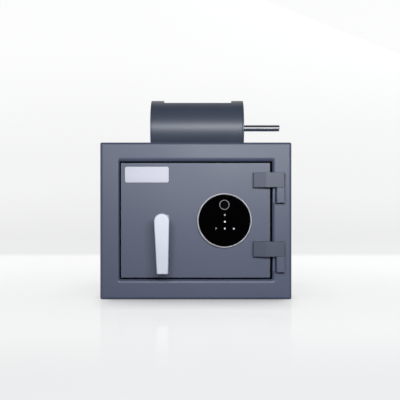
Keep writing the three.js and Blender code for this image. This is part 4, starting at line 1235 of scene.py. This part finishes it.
class DROPSAFE_OT_badge(Operator):
    """Bare badge plate with its two drive pins"""

    bl_idname = "dropsafe.badge"
    bl_label = "Badge"

    def execute(self, context):
        badge = settings().badge
        low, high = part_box("badge_plate")
        outline = rounded_rectangle(low.x, high.x, low.z, high.z, badge.radius, 10)
        bm = drawn_out(upright(outline, high.y), (0, low.y - high.y, 0))
        round_edges(bm, badge.pin_rise)
        dress("badge_plate", bm, "door", ("badge_alloy", "badge_alloy"))
        for side, x in (("left", low.x + badge.pin_inset), ("right", high.x - badge.pin_inset)):
            centre = (x, 0, (low.z + high.z) / 2)
            bm = cylinder(badge.pin, high.y, low.y - badge.pin_rise, "y", centre, DRIVE_PIN_STEPS)
            round_edges(bm, badge.pin_rise * PIN_ROUND, 4)
            place_piece(f"badge_pin_{side}", bm, "door", ("badge_alloy", "bright_steel"))
        return {"FINISHED"}


class DROPSAFE_OT_lock(Operator):
    """Round lock with its bright ring, black glass, sensor and lit marks"""

    bl_idname = "dropsafe.lock"
    bl_label = "Lock"

    def execute(self, context):
        lock = settings().lock
        low, high, centre, radius = round_of("lock_bezel")
        bore, floor = radius - lock.rim, high.y - lock.floor
        profile = [
            (lock.hole, floor), (bore, floor), (bore, low.y), (radius, low.y), (radius, high.y),
            (lock.hole, high.y),
        ]
        bm = turned(profile, "y", centre, DISC_STEPS, ring=True)
        round_edges(bm, lock.rim * RIM_ROUND, 5)
        place_piece("lock_ring", bm, "door", ("chrome", "satin_ring"), ["lock_bezel"])
        self.glass(centre)
        self.marks(centre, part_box("lock_glass")[0].y)
        refined("lock_housing", "door", PLASTIC, settings().edge.moulded)
        return {"FINISHED"}

    def glass(self, centre):
        """Black disc with the sensor's ring and pad in it."""
        lock = settings().lock
        low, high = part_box("lock_glass")
        radius = (high.x - low.x) / 2
        ring_low, ring_high, sensor, outer = round_of("sensor_ring")
        outer -= lock.sensor_inset
        bm = cylinder(radius, high.y, low.y, "y", centre, DISC_STEPS)
        bm = bored(bm, outer + GLASS_CLEARANCE, high.y, low.y, "y", sensor, BORE_STEPS)
        round_edges(bm, GLASS_EDGE)
        dress("lock_glass", bm, "door", ("lock_glass", "lock_glass"))
        inner, slope = outer - lock.sensor_ring, lock.sensor_slope
        profile = [
            (inner, ring_high.y), (outer, ring_high.y), (outer, ring_low.y + slope),
            (outer - slope, ring_low.y), (inner, ring_low.y),
        ]
        bm = turned(profile, "y", sensor, BORE_STEPS, ring=True)
        dress("sensor_ring", bm, "door", ("chrome", "dark_ring"))
        low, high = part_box("fingerprint_sensor")
        bm = cylinder(inner - PAD_CLEARANCE, high.y, low.y, "y", sensor, BORE_STEPS)
        round_edges(bm, PAD_EDGE)
        place_piece("sensor_pad", bm, "door", ("sensor", "sensor_face"), ["fingerprint_sensor"])

    def marks(self, centre, face):
        lock = settings().lock
        x, half = centre.x + lock.mark_shift, lock.mark / 2
        row, steps = centre.z - lock.row_drop, DOT_STEPS - 1
        last = FULL_TURN * steps / DOT_STEPS
        marks = (
            ("mark_triangle", x, centre.z + lock.triangle_rise, TRIANGLE),
            ("mark_dot", x, centre.z - lock.dot_drop, arc(0, 0, 1, 0, last, steps)),
            ("mark_dot_right", x + lock.row_pitch, row, arc(0, 0, 0.9, 0, last, steps)),
            ("mark_tablet", x, row, rounded_rectangle(-0.75, 0.75, -1.1, 1.1, 0.35, 4)),
            ("mark_stroke", x - lock.row_pitch, row, HOOKED_STROKE),
        )
        for name, a, b, outline in marks:
            points = upright([(a + half * u, b + half * v) for u, v in outline], face)
            bm = drawn_out(points, (0, -lock.mark_rise, 0))
            place_piece(name, bm, "door", ("lock_glass", "lit_mark"))


class DROPSAFE_OT_lever(Operator):
    """Cast lever with its hub, bush and spindle"""

    bl_idname = "dropsafe.lever"
    bl_label = "Lever"

    def execute(self, context):
        lever, edge = settings().lever, settings().edge
        low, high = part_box("handle_lever")
        centre = round_of("handle_bush")[2]
        half, middle = lever.end_width / 2 - lever.corner, centre.x + lever.end_shift
        end = centre.z - lever.reach + lever.corner
        points = arc(middle + half, end, lever.corner, -QUARTER, 0, 8)
        points += arc(centre.x, centre.z, lever.head, 0, HALF_TURN, 48)
        points += arc(middle - half, end, lever.corner, HALF_TURN, 3 * QUARTER, 8)
        back = low.y + lever.wall
        bm = drawn_out(upright(points, back), (0, low.y - back, 0))
        for y, radius, segments in ((low.y, lever.edge, 6), (back, lever.edge / 2, 3)):
            rim = [e for e in bm.edges if all(abs(v.co.y - y) < WELD for v in e.verts)]
            round_edges(bm, radius, segments, rim)
        place_piece("lever_blade", bm, "handle", ALLOY, ["handle_lever"])
        collar, lip = lever.hub * HUB_COLLAR, back + lever.edge
        profile = [
            (0, back - lever.edge), (collar, back - lever.edge), (collar, lip),
            (lever.hub, back + lever.edge * 3), (lever.hub, high.y), (SPINDLE_BORE, high.y),
            (SPINDLE_BORE, lip), (0, lip),
        ]
        bm = turned(profile, "y", centre, BORE_STEPS)
        round_edges(bm, edge.turned)
        place_piece("lever_hub", bm, "handle", ALLOY, ["handle_lever"])
        refined("handle_spindle", "handle", STEEL, edge.turned / 2, 2)
        refined("handle_bush", "door", STEEL, edge.turned, 2)
        return {"FINISHED"}


class DROPSAFE_OT_bolt_work(Operator):
    """Crank, roller, clip, carrier, bolts, studs and dogs"""

    bl_idname = "dropsafe.bolt_work"
    bl_label = "Bolt work"

    def execute(self, context):
        edge = settings().edge
        for node, body in (
            ("crank_arm", "handle"), ("crank_circlip", "handle"), ("bolt_carrier", "bolts")
        ):
            refined(node, body, STEEL, edge.turned / 2, 2)
        steel_pin("crank_roller", "handle", "y", edge.turned)
        for place in ("upper", "middle", "lower"):
            self.bolt(f"lock_bolt_{place}", "bolts", -1)
        for place in ("upper", "lower"):
            self.bolt(f"fixed_dog_{place}", "door", 1)
            refined(f"carrier_stud_{place}", "door", STEEL, edge.turned / 2, 2)
        return {"FINISHED"}

    def bolt(self, node, body, outward):
        """A round bolt with a chamfered nose and a turned groove behind it."""
        low, high, middle, radius = round_of(node, "z")
        radius -= BOLT_CLEARANCE
        root, nose = (high.x, low.x) if outward < 0 else (low.x, high.x)
        cut, back = BOLT_GROOVE, BOLT_CHAMFER * 3
        steps = (
            (0, back), (cut, back - cut), (cut, back - 3 * cut), (0, back - 4 * cut),
            (0, BOLT_CHAMFER), (BOLT_CHAMFER, 0),
        )
        profile = [(0, root), (radius, root)]
        profile += [(radius - depth, nose - outward * behind) for depth, behind in steps]
        bm = turned(profile + [(0, nose)], "x", middle)
        round_edges(bm, settings().edge.turned / 2, 2)
        dress(node, bm, body, STEEL)


class DROPSAFE_OT_solenoid(Operator):
    """Solenoid with its plunger and return spring"""

    bl_idname = "dropsafe.solenoid"
    bl_label = "Solenoid"

    def execute(self, context):
        edge = settings().edge
        refined("solenoid_body", "door", ZINC, edge.sheet, 2)
        refined("solenoid_plunger", "plunger", STEEL, edge.turned / 2, 2)
        low, high, middle, radius = round_of("plunger_spring")
        wire, steps = SPRING_WIRE, STEPS_PER_TURN * SPRING_TURNS
        start = Matrix.Translation((middle.x + radius - wire, middle.y, low.z + wire))
        bm = bmesh.new()
        bmesh.ops.create_circle(
            bm, cap_ends=True, radius=wire, segments=10,
            matrix=start @ Matrix.Rotation(QUARTER, 4, "X"),
        )
        bmesh.ops.spin(
            bm, geom=bm.faces[:] + bm.edges[:] + bm.verts[:], cent=(middle.x, middle.y, low.z),
            axis=AXES["z"], dvec=(0, 0, (high.z - low.z - 2 * wire) / steps),
            angle=FULL_TURN * SPRING_TURNS, steps=steps, use_merge=False,
        )
        dress("plunger_spring", bm, "plunger", STEEL)
        return {"FINISHED"}


class DROPSAFE_OT_battery_case(Operator):
    """Battery case with its four cells and sliding cover"""

    bl_idname = "dropsafe.battery_case"
    bl_label = "Battery case"

    def execute(self, context):
        sheet = settings().edge.sheet
        refined("battery_holder", "door", PLASTIC, sheet, 2)
        refined("battery_cover", "battery_lid", PLASTIC, sheet, 2)
        for index in range(1, 5):
            self.dry_cell(f"aa_cell_{index}", 1 if index % 2 else -1)
        return {"FINISHED"}

    def dry_cell(self, node, up):
        """A dry cell with its plus nub up or down."""
        cell = settings().cell
        low, high, middle, radius = round_of(node)
        plus, minus = (high.z, low.z) if up > 0 else (low.z, high.z)
        neck, crimp, nub = plus - up * cell.shoulder, cell.crimp, cell.nub
        profile = [
            (0, minus), (radius - crimp, minus), (radius, minus + up * crimp),
            (radius, neck - up * crimp), (radius - crimp, neck), (nub, neck),
            (nub, plus - up * crimp / 2), (nub - crimp / 2, plus), (0, plus),
        ]
        bm = turned(profile, "z", middle)
        round_edges(bm, settings().edge.turned / 2, 2)
        dress(node, bm, "door", ("cell_wrap", "cell_wrap_up" if up > 0 else "cell_wrap_down"))


class DROPSAFE_OT_lead(Operator):
    """Lead from the lock's electronics to the solenoid"""

    bl_idname = "dropsafe.lead"
    bl_label = "Lead"

    def execute(self, context):
        lead = copy_of("lock_harness")
        place_piece("lock_lead", lead, "door", PLASTIC, ["lock_harness"], LEAD_SHARP_ANGLE)
        return {"FINISHED"}


class DROPSAFE_OT_stage(Operator):
    """Pale floor and backdrop, soft studio light and the camera"""

    bl_idname = "dropsafe.stage"
    bl_label = "Stage"

    def execute(self, context):
        self.floor_and_backdrop()
        self.lights()
        self.room()
        self.camera()
        context.scene.view_settings.view_transform = "Standard"
        return {"FINISHED"}

    def floor_and_backdrop(self, half_width=6.0, front=-6.0, height=4.0):
        stage = settings().stage
        profile = arc(stage.wall_y - stage.sweep, stage.sweep, stage.sweep, -QUARTER, 0, 12)
        profile = [(front, 0.0), *profile, (stage.wall_y, height)]
        bm = bmesh.new()
        verts = [bm.verts.new((-half_width, y, z)) for y, z in profile]
        edges = [bm.edges.new(pair) for pair in zip(verts, verts[1:])]
        made = bmesh.ops.extrude_edge_only(bm, edges=edges)
        bmesh.ops.translate(bm, verts=verts_in(made["geom"]), vec=(2 * half_width, 0, 0))
        sweep = object_of("studio_sweep", bm)
        sweep.data.shade_smooth()
        sweep.data.materials.append(material_of("pale_paper"))

    def lights(self):
        stage = settings().stage
        place, size = (stage.key_x, stage.key_y, stage.key_z), (stage.key_width, stage.key_height)
        key = self.panel("key_panel", stage.key_light, place, size, KEY_TARGET)
        key.light_linking.receiver_collection = bpy.data.collections.new(SOFT_LIT)
        for name, place in SOFT_PANELS.items():
            power = stage.back_light if name == "rear_panel" else stage.side_light
            lamp = self.panel(name, power, place, SOFT_PANEL_SIZE, SOFT_TARGET)
            lamp.visible_glossy = False

    def panel(self, name, power, place, size, target):
        """A soft rectangular lamp that looks at its target and isn't seen itself."""
        light = bpy.data.lights.new(name, "AREA")
        light.shape = "RECTANGLE"
        light.size, light.size_y = size
        light.energy = power
        light.color = LAMP_COLOUR
        lamp = bpy.data.objects.new(name, light)
        lamp.location = place
        lamp.rotation_euler = (Vector(target) - Vector(place)).to_track_quat("-Z", "Y").to_euler()
        lamp.visible_camera = False
        bpy.context.scene.collection.objects.link(lamp)
        return lamp

    def room(self):
        """A pale room around the paper, mirrored as a tall soft panel under a dark ceiling."""
        world = bpy.data.worlds.new("studio_room")
        world.use_nodes = True
        tree = world.node_tree
        direction = add(tree, "TexCoord").outputs["Generated"]
        height = add(tree, "SeparateXYZ", {0: direction}).outputs["Z"]
        walls = mapped(tree, height, 0.42, 0.56, 0.95, 0.04)
        seen, mirrored = rays(tree)
        lit = mapped(tree, mirrored, 0.0, 1.0, settings().stage.ambient, walls)
        strength = mapped(tree, seen, 0.0, 1.0, lit, 0.95)
        values = {"Color": srgb(244, 246, 250), "Strength": strength}
        fill(tree, tree.nodes["Background"], values)
        bpy.context.scene.world = world

    def camera(self):
        stage = settings().stage
        data = bpy.data.cameras.new("photo_camera")
        data.lens = stage.lens
        data.sensor_width = 36.0
        camera = bpy.data.objects.new("photo_camera", data)
        camera.location = (stage.camera_x, stage.camera_y, stage.camera_z)
        camera.rotation_euler = (QUARTER, 0, 0)
        bpy.context.scene.collection.objects.link(camera)
        bpy.context.scene.camera = camera


PIECE_OPERATORS = (
    DROPSAFE_OT_stage,
    DROPSAFE_OT_cabinet,
    DROPSAFE_OT_front_frame,
    DROPSAFE_OT_hinges,
    DROPSAFE_OT_drum_housing,
    DROPSAFE_OT_deposit_drum,
    DROPSAFE_OT_baffle,
    DROPSAFE_OT_door,
    DROPSAFE_OT_badge,
    DROPSAFE_OT_lock,
    DROPSAFE_OT_lever,
    DROPSAFE_OT_bolt_work,
    DROPSAFE_OT_solenoid,
    DROPSAFE_OT_battery_case,
    DROPSAFE_OT_lead,
)


class DROPSAFE_PT_panel(Panel):
    """Buttons that build the safe piece by piece"""

    bl_idname = "DROPSAFE_PT_panel"
    bl_label = "Drop safe"
    bl_space_type = "VIEW_3D"
    bl_region_type = "UI"
    bl_category = "Drop safe"

    def draw(self, context):
        for operator in PIECE_OPERATORS:
            self.layout.operator(operator.bl_idname)


CLASSES = (*SETTINGS.values(), SafeSettings, *PIECE_OPERATORS, DROPSAFE_PT_panel)


def register():
    for cls in CLASSES:
        bpy.utils.register_class(cls)
    bpy.types.Scene.drop_safe = bpy.props.PointerProperty(type=SafeSettings)


def unregister():
    del bpy.types.Scene.drop_safe
    for cls in reversed(CLASSES):
        bpy.utils.unregister_class(cls)


def main():
    register()
    for operator in PIECE_OPERATORS:
        group, name = operator.bl_idname.split(".")
        getattr(getattr(bpy.ops, group), name)()


if __name__ == "__main__":
    main()
